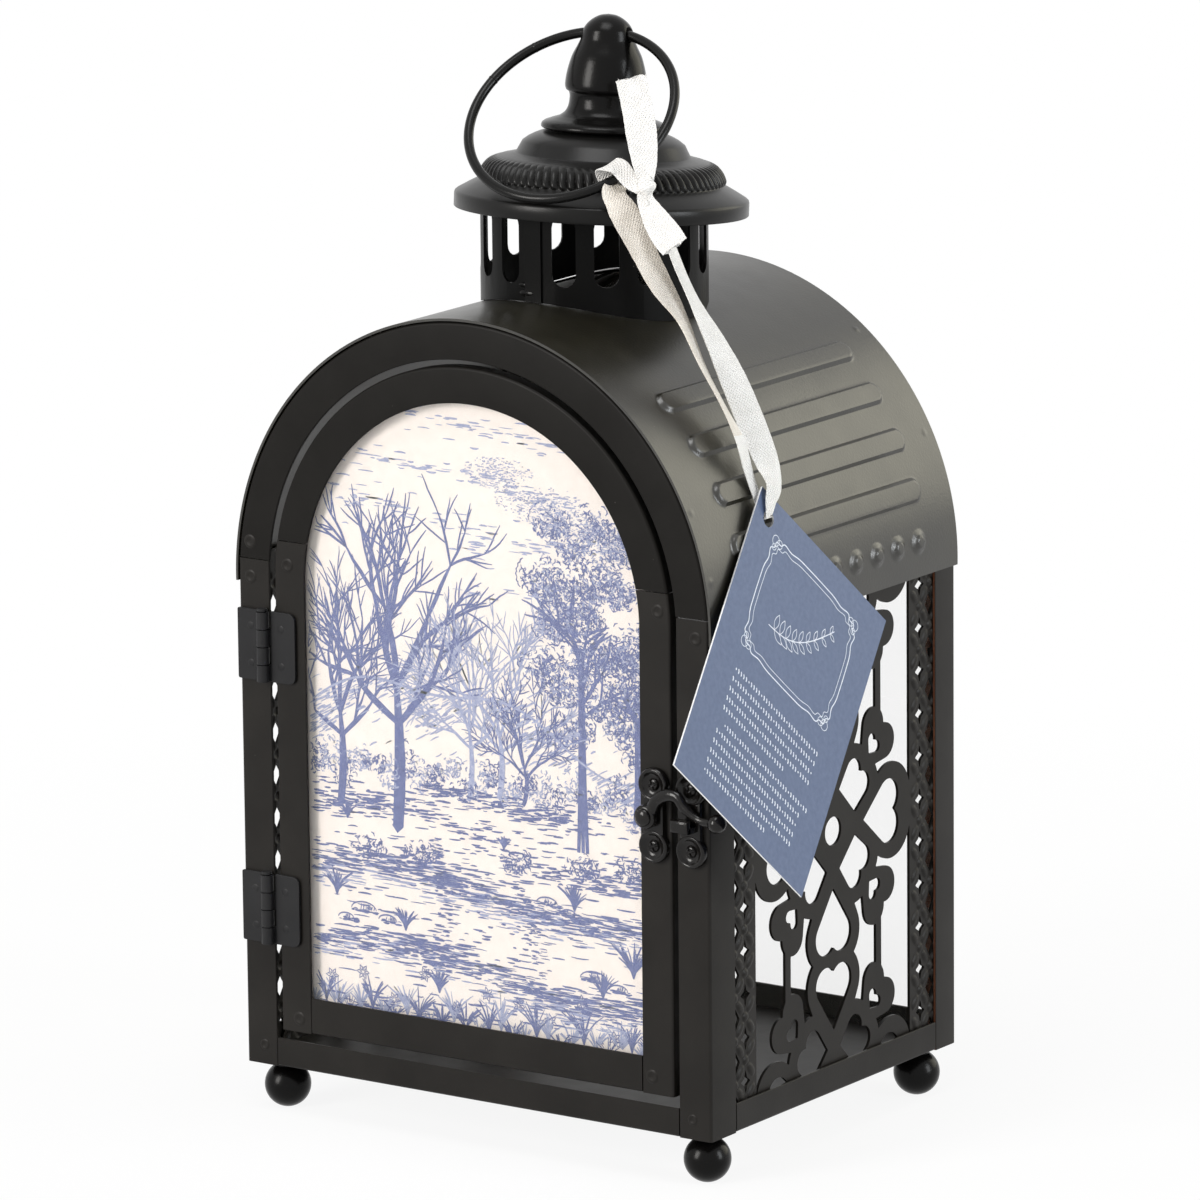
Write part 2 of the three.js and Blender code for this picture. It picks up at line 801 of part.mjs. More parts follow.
function addSidePanels() {
  const y0 = -halfDepth + sheet + seat;
  const y1 = halfDepth - sheet - seat;
  const z0 = bodyBottom + sheet + seat;
  const z1 = springHeight - seat;
  const middle = (sideFlangeFront - rearFlange) / 2;
  const x = halfWidth - sheet - seat - panelSheet;
  const solid = (points, grow = 0) =>
    toSolid(sideSheet(polygon(points), x - grow, panelSheet + 2 * grow).translate(0, middle, 0));
  const open = solid(rectangle(-fieldHalf, fieldHalf, z0 + 4, z1 - 4), 1);
  const flowers = [-1, 0, 1].map((i) => flowerParts(flowerHeight + i * flowerPeriod));
  let lattice = null;
  const put = (points) => {
    const piece = solid(points);
    lattice = lattice ? lattice.add(piece) : piece;
  };
  flowers.forEach(({ bands }) => bands.forEach(put));
  for (const side of [-1, 1]) {
    const at = side * barFromAxis;
    for (const i of [-1, 0]) {
      const from = flowerHeight + i * flowerPeriod + barEnd;
      const to = from + flowerPeriod - 2 * barEnd;
      put(rectangle(at - barWidth / 2, at + barWidth / 2, from, to));
    }
    for (const i of [-1, 0, 1]) {
      const z = flowerHeight + i * flowerPeriod;
      const edge = side * (fieldHalf + 1);
      const inner = side * (fieldHalf - 4);
      put(rectangle(Math.min(edge, inner), Math.max(edge, inner), z - 6.2, z + 6.2));
    }
  }
  const blank = toSolid(box(x, x + panelSheet, y0, y1, z0, z1));
  let panel = blank.subtract(open).add(lattice.intersect(blank));
  const margin = solid(rectangle(-2 * fieldHalf, 2 * fieldHalf, z0 + 4, z1 - 4), 2);
  flowers.forEach(({ holes }) =>
    holes.forEach((points) => {
      panel = panel.subtract(solid(points, 1).intersect(margin));
    }),
  );
  const rows = Math.floor((z1 - 6 - flowerHeight) / holePitch);
  const rowsDown = Math.floor((flowerHeight - z0 - 6) / holePitch);
  for (const side of [-1, 1]) {
    for (let row = -rowsDown; row <= rows; row++) {
      const z = flowerHeight + row * holePitch;
      const y = side * (fieldHalf + holeColumn);
      panel = panel.subtract(solid(starHole(y, z, true), 1));
      if (row < rows) {
        const next = starHole(y + side * holeStep, z + holePitch / 2, false);
        panel = panel.subtract(solid(next, 1));
      }
    }
  }
  const geometry = toGeometry(panel);
  add('right_side_panel', geometry, blackSteel);
  add('left_side_panel', mirrorX(geometry), blackSteel);
}

// An arched pane drawn in X and Z.
function archedOutline(radius, bottom) {
  const shape = new THREE.Shape();
  shape.moveTo(-radius, bottom);
  shape.lineTo(radius, bottom);
  shape.absarc(0, archCentre, radius, 0, Math.PI, false);
  shape.closePath();
  return shape;
}

// Lugs that hold the panes: on the door a stepped strip from the flange's edge over the pane,
// at the rear an angle on the side panel.
function addDoorClips() {
  const flangeEnd = frontPlane + doorReturn + seat;
  const paneBack = frontPlane + sheet + glassThickness + printThickness + 3 * seat;
  const flangeInside = doorRadius - sheet - seat;
  const half = clipWidth / 2;
  clipHeights.forEach((z, i) => {
    const seatEnd = box(flangeInside - 1, doorRadius, flangeEnd, flangeEnd + clipSheet, z - half, z + half);
    const tongue = box(
      flangeInside - clipReach,
      flangeInside,
      paneBack,
      paneBack + clipSheet,
      z - half,
      z + half,
    );
    const clip = join(seatEnd, tongue);
    const where = ['lower', 'upper'][i];
    add('door_' + where + '_right_clip', clip, blackSteel);
    add('door_' + where + '_left_clip', mirrorX(clip), blackSteel);
  });
}

function addRearClips() {
  const panelInside = halfWidth - sheet - panelSheet - 3 * seat;
  const paneFront = halfDepth - sheet - glassThickness - 2 * seat;
  const half = clipWidth / 2;
  clipHeights.forEach((z, i) => {
    const foot = box(
      panelInside - clipSheet,
      panelInside,
      paneFront - clipReach,
      paneFront,
      z - half,
      z + half,
    );
    const tongue = box(
      panelInside - clipReach,
      panelInside,
      paneFront - clipSheet,
      paneFront,
      z - half,
      z + half,
    );
    const clip = join(foot, tongue);
    const where = ['lower', 'upper'][i];
    add('rear_' + where + '_right_clip', clip, blackSteel);
    add('rear_' + where + '_left_clip', mirrorX(clip), blackSteel);
  });
}

function addRearGlass() {
  const radius = halfWidth - sheet - panelSheet - 3 * seat;
  const y = halfDepth - sheet - seat - glassThickness;
  const bottom = bodyBottom + sheet + seat;
  add('rear_glass', frontSheet(archedOutline(radius, bottom), y, glassThickness, 28), clearGlass);
}

// Door frame: a flat face with a return flange round its outer edge.
function strip(outer, inner, from, to) {
  const shape = new THREE.Shape();
  const outerEnd = Math.asin((to - archCentre) / outer);
  const innerEnd = Math.asin((to - archCentre) / inner);
  shape.moveTo(inner, from);
  shape.lineTo(outer, from);
  shape.absarc(0, archCentre, outer, 0, outerEnd, false);
  shape.absarc(0, archCentre, inner, innerEnd, 0, true);
  shape.closePath();
  return shape;
}

function addDoorFrame() {
  const y = frontPlane;
  const seam = archCentre + doorSeam;
  const stile = join(
    frontSheet(strip(doorRadius, doorOpening, doorBottom, seam), y, sheet, 4),
    frontSheet(strip(doorRadius, doorRadius - sheet, doorBottom, seam), y, doorReturn, 4),
  );
  add('door_right_stile', stile, blackSteel);
  add('door_left_stile', mirrorX(stile), blackSteel);
  add('door_arch', angleArch(doorRadius, doorFace, doorReturn, seam + seat, 32), blackSteel);
  const x = doorOpening - seat;
  const rail = join(
    box(-x, x, y, y + sheet, doorBottom, doorBottom + doorFace),
    box(-x, x, y, y + doorReturn, doorBottom, doorBottom + sheet),
  );
  add('door_bottom_rail', rail, blackSteel);
}

function addDoorPanes() {
  const radius = doorRadius - sheet - paneClear;
  const bottom = doorBottom + sheet + paneClear;
  const glassFront = frontPlane + sheet + seat;
  add('door_glass', frontSheet(archedOutline(radius, bottom), glassFront, glassThickness, 28), clearGlass);
  const printFront = glassFront + glassThickness + seat;
  add(
    'door_print',
    frontSheet(archedOutline(radius, bottom), printFront, printThickness, 28),
    creamPrint,
  );
}

// Butt hinges: a leaf is a plate and its share of the knuckles round the pin.
const pinX = -halfWidth + pinInset;
const pinY = frontPlane - knuckleRadius - seat / 2;

function hingeLeafSolid(height, reachFrom, reachTo, first, corner) {
  const z0 = height - hingeLength / 2;
  const pitch = hingeLength / knuckleCount;
  const back = frontPlane - seat / 2;
  const plate = new THREE.Shape();
  const outerSide = reachTo > reachFrom ? 1 : -1;
  const end = reachTo - outerSide * corner;
  plate.moveTo(reachFrom, z0);
  plate.lineTo(end, z0);
  plate.quadraticCurveTo(reachTo, z0, reachTo, z0 + corner);
  plate.lineTo(reachTo, z0 + hingeLength - corner);
  plate.quadraticCurveTo(reachTo, z0 + hingeLength, end, z0 + hingeLength);
  plate.lineTo(reachFrom, z0 + hingeLength);
  plate.closePath();
  const pieces = [frontSheet(plate, back - hingeLeaf, hingeLeaf, 4)];
  for (let i = first; i < knuckleCount; i += 2) {
    const low = z0 + i * pitch + seat / 2;
    const high = z0 + (i + 1) * pitch - seat / 2;
    pieces.push(rod(knuckleRadius, low, high, 14).translate(pinX, pinY, 0));
    const near = Math.min(pinX, reachFrom);
    const far = Math.max(pinX, reachFrom);
    pieces.push(box(near, far, back - hingeLeaf, back, low, high));
  }
  const bore = rod(pinRadius + seat, z0 - 1, z0 + hingeLength + 1, 12).translate(pinX, pinY, 0);
  return cut(join(...pieces), bore);
}

function addHinges() {
  const clear = knuckleRadius + seat;
  hingeHeights.forEach((height, i) => {
    const where = ['lower', 'upper'][i];
    const frameLeaf = hingeLeafSolid(height, pinX - clear, -halfWidth, 1, 0.6);
    add(where + '_hinge_frame_leaf', frameLeaf, castBlack);
    const doorLeaf = hingeLeafSolid(height, pinX + clear, pinX + doorLeafReach, 0, leafCorner);
    add(where + '_hinge_door_leaf', doorLeaf, castBlack);
    const half = hingeLength / 2;
    const pin = join(
      rod(pinRadius, height - half, height + half + 0.2, 12),
      rod(knuckleRadius * 0.8, height + half + 0.1, height + half + 0.8, 12),
    );
    add(where + '_hinge_pin', pin.translate(pinX, pinY, 0), castBlack);
  });
}

// Latch: two lobed plates, a swan-neck hook on a pivot and the keeper it drops behind.
function latchOutline(x) {
  const shape = new THREE.Shape();
  const lobeAt = latchPlateHalf - latchLobe;
  const corner = Math.acos(latchWaist / latchLobe);
  const z = latchHeight;
  shape.absarc(x, z + lobeAt, latchLobe, -corner, Math.PI + corner, false);
  shape.absarc(x, z - lobeAt, latchLobe, Math.PI - corner, 2 * Math.PI + corner, false);
  shape.closePath();
  for (const side of [-1, 1]) {
    const hole = new THREE.Path();
    hole.absarc(x, z + side * lobeAt, screwHole, 0, 2 * Math.PI, false);
    shape.holes.push(hole);
  }
  return shape;
}

const stileMiddle = doorRadius - doorFace / 2;
const postMiddle = halfWidth - frontFlange / 2;
const plateFront = frontPlane - seat - latchPlate;
const pivotX = stileMiddle - 1;
const hookFront = plateFront - seat - eyeThickness;
const hookMiddle = plateFront - seat - eyeThickness / 2;
const keeperX = postMiddle - 0.6;

// A tube whose radius changes along its points, closed at both ends.
function taperedTube(points, radii, sides) {
  const curve = new THREE.CatmullRomCurve3(points.map(([x, y, z]) => new THREE.Vector3(x, y, z)));
  const steps = (points.length - 1) * 2;
  const positions = [];
  const index = [];
  const across = new THREE.Vector3(0, 1, 0);
  for (let i = 0; i <= steps; i++) {
    const t = i / steps;
    const centre = curve.getPoint(t);
    const tangent = curve.getTangent(t);
    const side = new THREE.Vector3().crossVectors(tangent, across).normalize();
    const out = new THREE.Vector3().crossVectors(side, tangent).normalize();
    const k = t * (radii.length - 1);
    const low = Math.min(Math.floor(k), radii.length - 2);
    const radius = radii[low] + (radii[low + 1] - radii[low]) * (k - low);
    for (let j = 0; j < sides; j++) {
      const a = (j / sides) * 2 * Math.PI;
      const p = centre.clone();
      p.addScaledVector(out, radius * Math.cos(a)).addScaledVector(side, radius * Math.sin(a));
      positions.push(p.x, p.y, p.z);
    }
  }
  for (let i = 0; i < steps; i++) {
    for (let j = 0; j < sides; j++) {
      const a = i * sides + j;
      const b = i * sides + ((j + 1) % sides);
      index.push(a, b, a + sides, b, b + sides, a + sides);
    }
  }
  const last = steps * sides;
  for (let j = 1; j < sides - 1; j++) {
    index.push(0, j + 1, j, last, last + j, last + j + 1);
  }
  return closedGeometry(positions, index);
}

function closedGeometry(positions, index) {
  const geometry = new THREE.BufferGeometry();
  geometry.setAttribute('position', new THREE.BufferAttribute(new Float32Array(positions), 3));
  geometry.setIndex(index);
  const solid = toSolid(geometry);
  if (solid.volume() > 0) return geometry;
  for (let i = 0; i < index.length; i += 3) {
    [index[i + 1], index[i + 2]] = [index[i + 2], index[i + 1]];
  }
  geometry.setIndex(index);
  return geometry;
}

function alongY(radius, y0, y1, x, z, segments = 16) {
  return new THREE.CylinderGeometry(radius, radius, y1 - y0, segments).translate(x, (y0 + y1) / 2, z);
}

function addLatch() {
  const plate = frontSheet(latchOutline(stileMiddle), plateFront, latchPlate, 7);
  const pivot = join(
    alongY(pivotRadius, hookFront - 0.5, plateFront + 0.2, pivotX, latchHeight, 12),
    alongY(pivotRadius + 0.9, hookFront - seat - 1, hookFront - seat, pivotX, latchHeight, 12),
  );
  add('latch_plate', join(plate, pivot), castBlack);

  const keeperBack = hookFront - seat;
  const keeperFrontY = keeperBack - keeperWall;
  const keeperTop = latchHeight + 1;
  const catchPlate = join(
    frontSheet(latchOutline(postMiddle), plateFront, latchPlate, 7),
    box(keeperX - keeperGap, keeperX + keeperGap, keeperFrontY, keeperBack, keeperTop - keeperHeight, keeperTop),
    box(
      keeperX - keeperGap,
      keeperX + keeperGap,
      keeperFrontY,
      plateFront + 0.2,
      keeperTop - keeperHeight,
      keeperTop - keeperHeight + keeperWall,
    ),
  );
  add('latch_catch', catchPlate, castBlack);

  const z = latchHeight;
  const y = hookMiddle;
  const arm = taperedTube(
    [
      [pivotX + 1.5, y, z + 1],
      [pivotX + 3.2, y, z + 4.6],
      [pivotX + 6.6, y, z + 6.6],
      [pivotX + 10, y, z + 6.4],
      [keeperX, y, z + 3.8],
      [keeperX + 3.4, y, z + 1.6],
      [keeperX + 6, y, z + 0.9],
      [keeperX + hookReach - 0.8, y, z + 0.9],
    ],
    [1.3, 1.25, 1.3, 1.3, 1.25, 1.1, 0.85, 1.1],
    7,
  );
  const eye = cut(
    alongY(eyeRadius, hookFront, hookFront + eyeThickness, pivotX, z, 18),
    alongY(pivotRadius + seat, hookFront - 1, hookFront + eyeThickness + 1, pivotX, z, 12),
  );
  const nib = box(
    keeperX - 1.4,
    keeperX + 1.4,
    hookFront + 0.2,
    hookFront + eyeThickness - 0.2,
    z - 0.6,
    z + nibLength,
  );
  const ball = new THREE.SphereGeometry(hookBall, 12, 8).translate(keeperX + hookReach, y, z + 0.9);
  const cleared = cut(
    join(arm, nib, ball),
    alongY(pivotRadius + seat, hookFront - 1, hookFront + eyeThickness + 1, pivotX, z, 12),
  );
  add('latch_hook', join(eye, cleared), castBlack);
}

// The tag of card, hung by a corner hole, and its tape.
const tagNormal = new THREE.Vector3(
  Math.cos(THREE.MathUtils.degToRad(tagTilt)),
  0,
  Math.sin(THREE.MathUtils.degToRad(tagTilt)),
);
const tagDown = new THREE.Vector3(tagNormal.z, 0, -tagNormal.x);
const tagStandOff = ribHeight + 0.6;
const holePoint = new THREE.Vector3(0, -29.5, archCentre)
  .addScaledVector(tagNormal, roofOuter + tagStandOff)
  .addScaledVector(tagDown, -9.5);

function addTag() {
  const shape = polygon([
    [-tagHoleInset, -tagHoleInset],
    [tagWidth - tagHoleInset, -tagHoleInset],
    [tagWidth - tagHoleInset, tagLength - tagHoleInset],
    [-tagHoleInset, tagLength - tagHoleInset],
  ]);
  const hole = new THREE.Path();
  hole.absarc(0, 0, tagHole, 0, 2 * Math.PI, false);
  shape.holes.push(hole);
  const back = new THREE.Vector3(0, 1, 0);
  const short = back.clone().add(tagDown).normalize();
  const long = tagDown.clone().sub(back).normalize();
  const normal = new THREE.Vector3().crossVectors(short, long);
  const place = new THREE.Matrix4().makeBasis(short, long, normal).setPosition(holePoint);
  add('tag', extrude(shape, tagThickness, 5).translate(0, 0, -tagThickness / 2).applyMatrix4(place), blueCard);
}

// A flat tape: each row gives a point of its middle line, the way its face looks and its width.
function tape(rows, perSpan = 3) {
  const middle = new THREE.CatmullRomCurve3(rows.map(([p]) => new THREE.Vector3(...p)));
  const facing = new THREE.CatmullRomCurve3(rows.map(([, n]) => new THREE.Vector3(...n)));
  const steps = (rows.length - 1) * perSpan;
  const positions = [];
  const index = [];
  for (let i = 0; i <= steps; i++) {
    const t = i / steps;
    const row = Math.min(Math.floor(i / perSpan), rows.length - 2);
    const share = i / perSpan - row;
    const width = rows[row][2] * (1 - share) + rows[row + 1][2] * share;
    const p = middle.getPoint(t);
    const along = middle.getTangent(t);
    const face = facing.getPoint(t).normalize();
    const side = new THREE.Vector3().crossVectors(along, face).normalize();
    const out = new THREE.Vector3().crossVectors(side, along).normalize();
    for (const [a, b] of [[-1, -1], [1, -1], [1, 1], [-1, 1]]) {
      const corner = p.clone();
      corner.addScaledVector(side, (a * width) / 2).addScaledVector(out, (b * tapeThickness) / 2);
      positions.push(corner.x, corner.y, corner.z);
    }
  }
  for (let i = 0; i < steps; i++) {
    for (let j = 0; j < 4; j++) {
      const a = i * 4 + j;
      const b = i * 4 + ((j + 1) % 4);
      index.push(a, b, a + 4, b, b + 4, a + 4);
    }
  }
  const last = steps * 4;
  index.push(0, 2, 1, 0, 3, 2, last, last + 1, last + 2, last, last + 2, last + 3);
  return closedGeometry(positions, index);
}

// The wrap round the wire, its knot and the end that stands up: they turn with the ring.
function onWire(degrees) {
  const a = THREE.MathUtils.degToRad(degrees);
  return ringCentre()
    .addScaledVector(ringAxis, ringRadius * Math.sin(a))
    .addScaledVector(ringDown, ringRadius * Math.cos(a));
}

const tapePivot = onWire(tapeTurn).add(new THREE.Vector3(0, 0, -tapeSag));
const knotPlace = tapePivot.clone().addScaledVector(ringAxis, knotOffset);
const knotCentre = knotPlace.clone().applyMatrix4(crown.matrix);

function addTapeKnot() {
  const wrapPoints = [-1, -0.33, 0.33, 1].map((share) => onWire(tapeTurn + share * wrapHalf).toArray());
  const wrapRadius = ringWire / 2 + tapeClear + tapeThickness;
  const wrap = taperedTube(wrapPoints, [wrapRadius, wrapRadius, wrapRadius], 8);
  const link = taperedTube(
    [onWire(tapeTurn).toArray(), knotPlace.toArray()],
    [wrapRadius * 0.8, knotRadius * 0.7],
    7,
  );
  const lump = new THREE.SphereGeometry(knotRadius, 10, 7).translate(...knotPlace.toArray());
  const face = [0.56, -0.8, 0.21];
  const from = (x, y, z) => [knotPlace.x + x, knotPlace.y + y, knotPlace.z + z];
  const end = tape([
    [from(0, 0, 0), face, 3],
    [from(-0.7, 0.1, 6), face, 5.6],
    [from(-2.7, 1.2, 12.8), face, 7.8],
    [from(-4.8, 2.1, 19.3), face, tapeWidth],
    [from(-7.9, 2.6, 28), face, tapeWidth],
  ]);
  const clearTube = ringWire / 2 + tapeClear;
  const wireSpace = new THREE.TorusGeometry(ringRadius, clearTube, 8, 44).applyMatrix4(ringPlacement());
  add('tape_knot', cut(join(wrap, link, lump, end), wireSpace), whiteTape, crown);
}

// The loop through the card and the end that hangs: they go where the tag goes.
function addTagTape() {
  const atHole = (up, out, back) =>
    holePoint
      .clone()
      .addScaledVector(tagDown, -up)
      .addScaledVector(tagNormal, out)
      .add(new THREE.Vector3(0, back, 0))
      .toArray();
  const toFrontRight = [0.56, -0.8, 0.21];
  const toSide = [0.95, 0.1, 0.3];
  const down = [0.22, 0, -0.98];
  const outward = tagNormal.toArray();
  const inward = tagNormal.clone().negate().toArray();
  const nearKnot = [knotCentre.x + 0.8, knotCentre.y - 1.3, knotCentre.z - knotRadius - 0.8];
  const loop = tape([
    [[28.4, -30.6, 259.3], [0.7, -0.65, 0.21], 6.4],
    [[31.3, -31, 255.7], [0.8, -0.55, 0.21], tapeWidth],
    [[36.3, -31.1, 247.8], [0.91, -0.36, 0.2], tapeWidth],
    [[43.1, -31.6, 237.8], [0.96, -0.21, 0.19], tapeWidth],
    [[50.2, -31.6, 228.5], [0.97, 0.23, 0.12], tapeWidth],
    [[56.2, -31.8, 217.5], [0.92, 0.39, 0.09], tapeWidth],
    [[62.7, -31.6, 207.3], [0.9, 0.42, 0.09], 7.4],
    [[68.1, -31.7, 198.5], [0.97, 0.23, 0.12], 6],
    [atHole(14.6, -2.1, -1.9), toSide, 4.6],
    [atHole(9.5, -1.75, -1.5), toSide, 4],
    [atHole(4.5, -1.25, -0.7), outward, 3.6],
    [atHole(1.6, -0.95, 0), outward, 3.2],
    [atHole(0.3, 0, 0), down, 3],
    [atHole(1.6, 0.95, 0), inward, 3.2],
    [atHole(4.5, 1.5, 0.9), inward, 4.6],
    [atHole(8.6, 2, 3), inward, 6.8],
    [[72.4, -25.3, 192.4], [-0.92, 0.33, -0.2], 7.8],
    [[67.5, -24.6, 201.3], [-0.86, 0.47, -0.21], tapeWidth],
    [[62.4, -24.7, 211.6], [-0.89, 0.41, -0.21], tapeWidth],
    [[56.8, -25, 221.9], [-0.98, 0.09, -0.17], tapeWidth],
    [[51.1, -25.5, 231.4], [-0.97, -0.23, -0.12], tapeWidth],
    [[46.3, -25.6, 239.8], [-0.94, -0.31, -0.11], tapeWidth],
    [[42.9, -26.1, 247.7], [-0.94, -0.33, -0.11], tapeWidth],
    [[39.6, -26.2, 254.9], [-0.96, -0.26, -0.12], 6.4],
    [nearKnot, [-0.82, -0.57, -0.05], 3.4],
  ]);
  const end = tape([
    [nearKnot, toFrontRight, 2.6],
    [[39.9, -30.5, 256.7], toFrontRight, 5.8],
    [[43.3, -32.1, 254], toFrontRight, 7.4],
    [[46.9, -33.4, 251.2], toFrontRight, 7.8],
    [[49.6, -34.1, 249], toFrontRight, 7.2],
  ]);
  add('tag_tape', join(loop, end), whiteTape);
}

addPosts();
addRails();
addBasePlate();
addArches();
addRoof();
addChimney();
addCap();
addFinial();
addRing();
addFeet();
addSidePanels();
addRearGlass();
addDoorFrame();
addDoorPanes();
addDoorClips();
addRearClips();
addHinges();
addLatch();
addTag();
addTapeKnot();
addTagTape();

// The origin goes under the middle of the box round everything but the tag and its tape.
const hung = ['tag', 'tape_knot', 'tag_tape'];
const extent = new THREE.Box3();
lantern.traverse((piece) => {
  if (piece.isMesh && !hung.includes(piece.name)) extent.expandByObject(piece);
});
const middle = extent.getCenter(new THREE.Vector3());
lantern.position.set(-middle.x, -middle.y, 0);

export default lantern;
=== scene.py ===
import math
import random

import bpy
import numpy as np
from mathutils import Matrix, Vector


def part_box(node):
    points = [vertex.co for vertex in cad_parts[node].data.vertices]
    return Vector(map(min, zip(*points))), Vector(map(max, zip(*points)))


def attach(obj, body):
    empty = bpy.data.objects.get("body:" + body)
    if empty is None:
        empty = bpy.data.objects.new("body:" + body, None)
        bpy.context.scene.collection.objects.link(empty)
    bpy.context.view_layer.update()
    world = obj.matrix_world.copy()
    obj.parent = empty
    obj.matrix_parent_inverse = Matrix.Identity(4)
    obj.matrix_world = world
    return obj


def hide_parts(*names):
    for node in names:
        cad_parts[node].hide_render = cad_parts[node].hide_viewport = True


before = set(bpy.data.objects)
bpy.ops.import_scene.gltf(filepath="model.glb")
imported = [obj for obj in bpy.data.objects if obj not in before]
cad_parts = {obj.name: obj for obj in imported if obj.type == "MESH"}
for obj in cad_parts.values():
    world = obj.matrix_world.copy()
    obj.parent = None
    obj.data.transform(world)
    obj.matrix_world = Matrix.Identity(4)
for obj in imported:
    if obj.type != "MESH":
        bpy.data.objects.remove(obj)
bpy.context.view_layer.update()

MM = 0.001
RAD = math.pi / 180
TAU = 2 * math.pi

# The lantern's own sizes, in millimetres, as the solids have them
HALF_W = 77.0
HALF_D = 60.5
BOTTOM = 13.5
SPRING = 155.7
ARCH = 150.8  # height of the arches' centre
SHEET = 0.9
SEAT = 0.25
ROOF_IN = HALF_W + SEAT
ROOF_OUT = ROOF_IN + 0.7
CHIMNEY_R = 31.0
FINIAL_BASE = 23.55  # above the cap's lip, along the cap's own axis
FINIAL_HEIGHT = 29.7
DOOR_R = 65.0
DOOR_FACE = 10.0
DOOR_RETURN = 4.2
DOOR_BOTTOM = 24.2
DOOR_SEAM = ARCH + 10.7
FRONT = -HALF_D

# The ring's circle, the knot beside it, and the card's hole and directions
RING_U = Vector((0.992115, 0.124894, -0.010488))
RING_DOWN = Vector((0.086112, -0.740055, -0.667011))
RING_CENTRE = Vector((3.870633, -15.81218, 277.944287))
RING_AXIS = Vector((1.4, 5.42072, 297.081482))  # where it swings in the finial
RING_R = 29.1
WIRE = 1.35
KNOT = Vector((35.779817, -27.313218, 263.103559))
NEAR_KNOT = KNOT + Vector((0.8, -1.3, -3.6))
HOLE = Vector((75.5152, -29.5, 177.5563))  # in the tag's corner
TAG_N = Vector((0.975535, 0, 0.219846))
TAG_DOWN = Vector((0.219846, 0, -0.975535))

# The cap sits a little off the tube and leans to the rear; so do its finial and ring
CROWN_PLACE = Matrix.Translation((1.4, 1.4, 249.2)) @ Matrix.Rotation(-4.8 * RAD, 4, "X")

# Sizes run from under the middle of the roof, which is off the frame's own origin
roof_low, roof_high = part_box("roof")
SHIFT = Vector(((roof_low.x + roof_high.x) / 2, (roof_low.y + roof_high.y) / 2, 0))

# Camera and materials


def add_camera():
    """The camera that was fitted to points of the photo; focal and centre are in its pixels."""
    azimuth, elevation, roll = 0.606307, 0.215105, -0.009974
    distance, focal, centre_x, centre_y, target = 2461.32, 9011.485, 597.794, 583.882, 145.684
    image, sensor = 1200, 36
    level = Vector((math.sin(azimuth), -math.cos(azimuth), 0))
    back = level * math.cos(elevation) + Vector((0, 0, math.sin(elevation)))
    right = Vector((math.cos(azimuth), math.sin(azimuth), 0))
    up = back.cross(right)
    turned_right = right * math.cos(roll) + up * math.sin(roll)
    turned_up = up * math.cos(roll) - right * math.sin(roll)
    data = bpy.data.cameras.new("camera")
    camera = bpy.data.objects.new("camera", data)
    bpy.context.scene.collection.objects.link(camera)
    place = Matrix((turned_right, turned_up, back)).transposed().to_4x4()
    place.translation = (Vector((0, 0, target)) + back * distance) * MM + SHIFT
    camera.matrix_world = place
    data.sensor_width = sensor
    data.lens = focal * sensor / image
    data.shift_x = (image / 2 - centre_x) / image
    data.shift_y = (centre_y - image / 2) / image
    data.clip_start = 0.1
    data.clip_end = 50
    bpy.context.scene.camera = camera


add_camera()


def emptied(owner):
    """The node tree of a material or of the world, with its nodes taken out."""
    owner.use_nodes = True
    owner.node_tree.nodes.clear()
    return owner.node_tree


def feed(tree, made, inputs):
    """Sets each input of a node to a value, or links it where the value is a socket."""
    for key, value in inputs.items():
        if isinstance(value, bpy.types.NodeSocket):
            tree.links.new(value, made.inputs[key])
        else:
            made.inputs[key].default_value = value


def node(tree, kind, inputs=None, **settings):
    made = tree.nodes.new(kind)
    for key, value in settings.items():
        setattr(made, key, value)
    feed(tree, made, inputs or {})
    return made


def maths(tree, operation, one, two):
    return node(tree, "ShaderNodeMath", {0: one, 1: two}, operation=operation).outputs[0]


def new_material(name):
    material = bpy.data.materials.new(name)
    tree = emptied(material)
    shader = node(tree, "ShaderNodeBsdfPrincipled")
    node(tree, "ShaderNodeOutputMaterial", {"Surface": shader.outputs[0]})
    return material, tree, shader


def noise(tree, scale, detail):
    place = node(tree, "ShaderNodeTexCoord").outputs["Object"]
    inputs = {"Vector": place, "Scale": scale, "Detail": detail}
    return node(tree, "ShaderNodeTexNoise", inputs).outputs[0]


def spread(tree, value, low, high):
    inputs = {"Value": value, "To Min": low, "To Max": high}
    return node(tree, "ShaderNodeMapRange", inputs).outputs[0]


def ramp(tree, value, stops):
    made = node(tree, "ShaderNodeValToRGB", {"Fac": value})
    elements = made.color_ramp.elements
    while len(elements) < len(stops):
        elements.new(0.5)
    for element, (place, colour) in zip(elements, stops):
        element.position = place
        element.color = (*colour, 1)
    return made.outputs[0]


def bump(tree, shader, height, distance, strength):
    inputs = {"Height": height, "Strength": strength, "Distance": distance}
    made = node(tree, "ShaderNodeBump", inputs)
    tree.links.new(made.outputs[0], shader.inputs["Normal"])


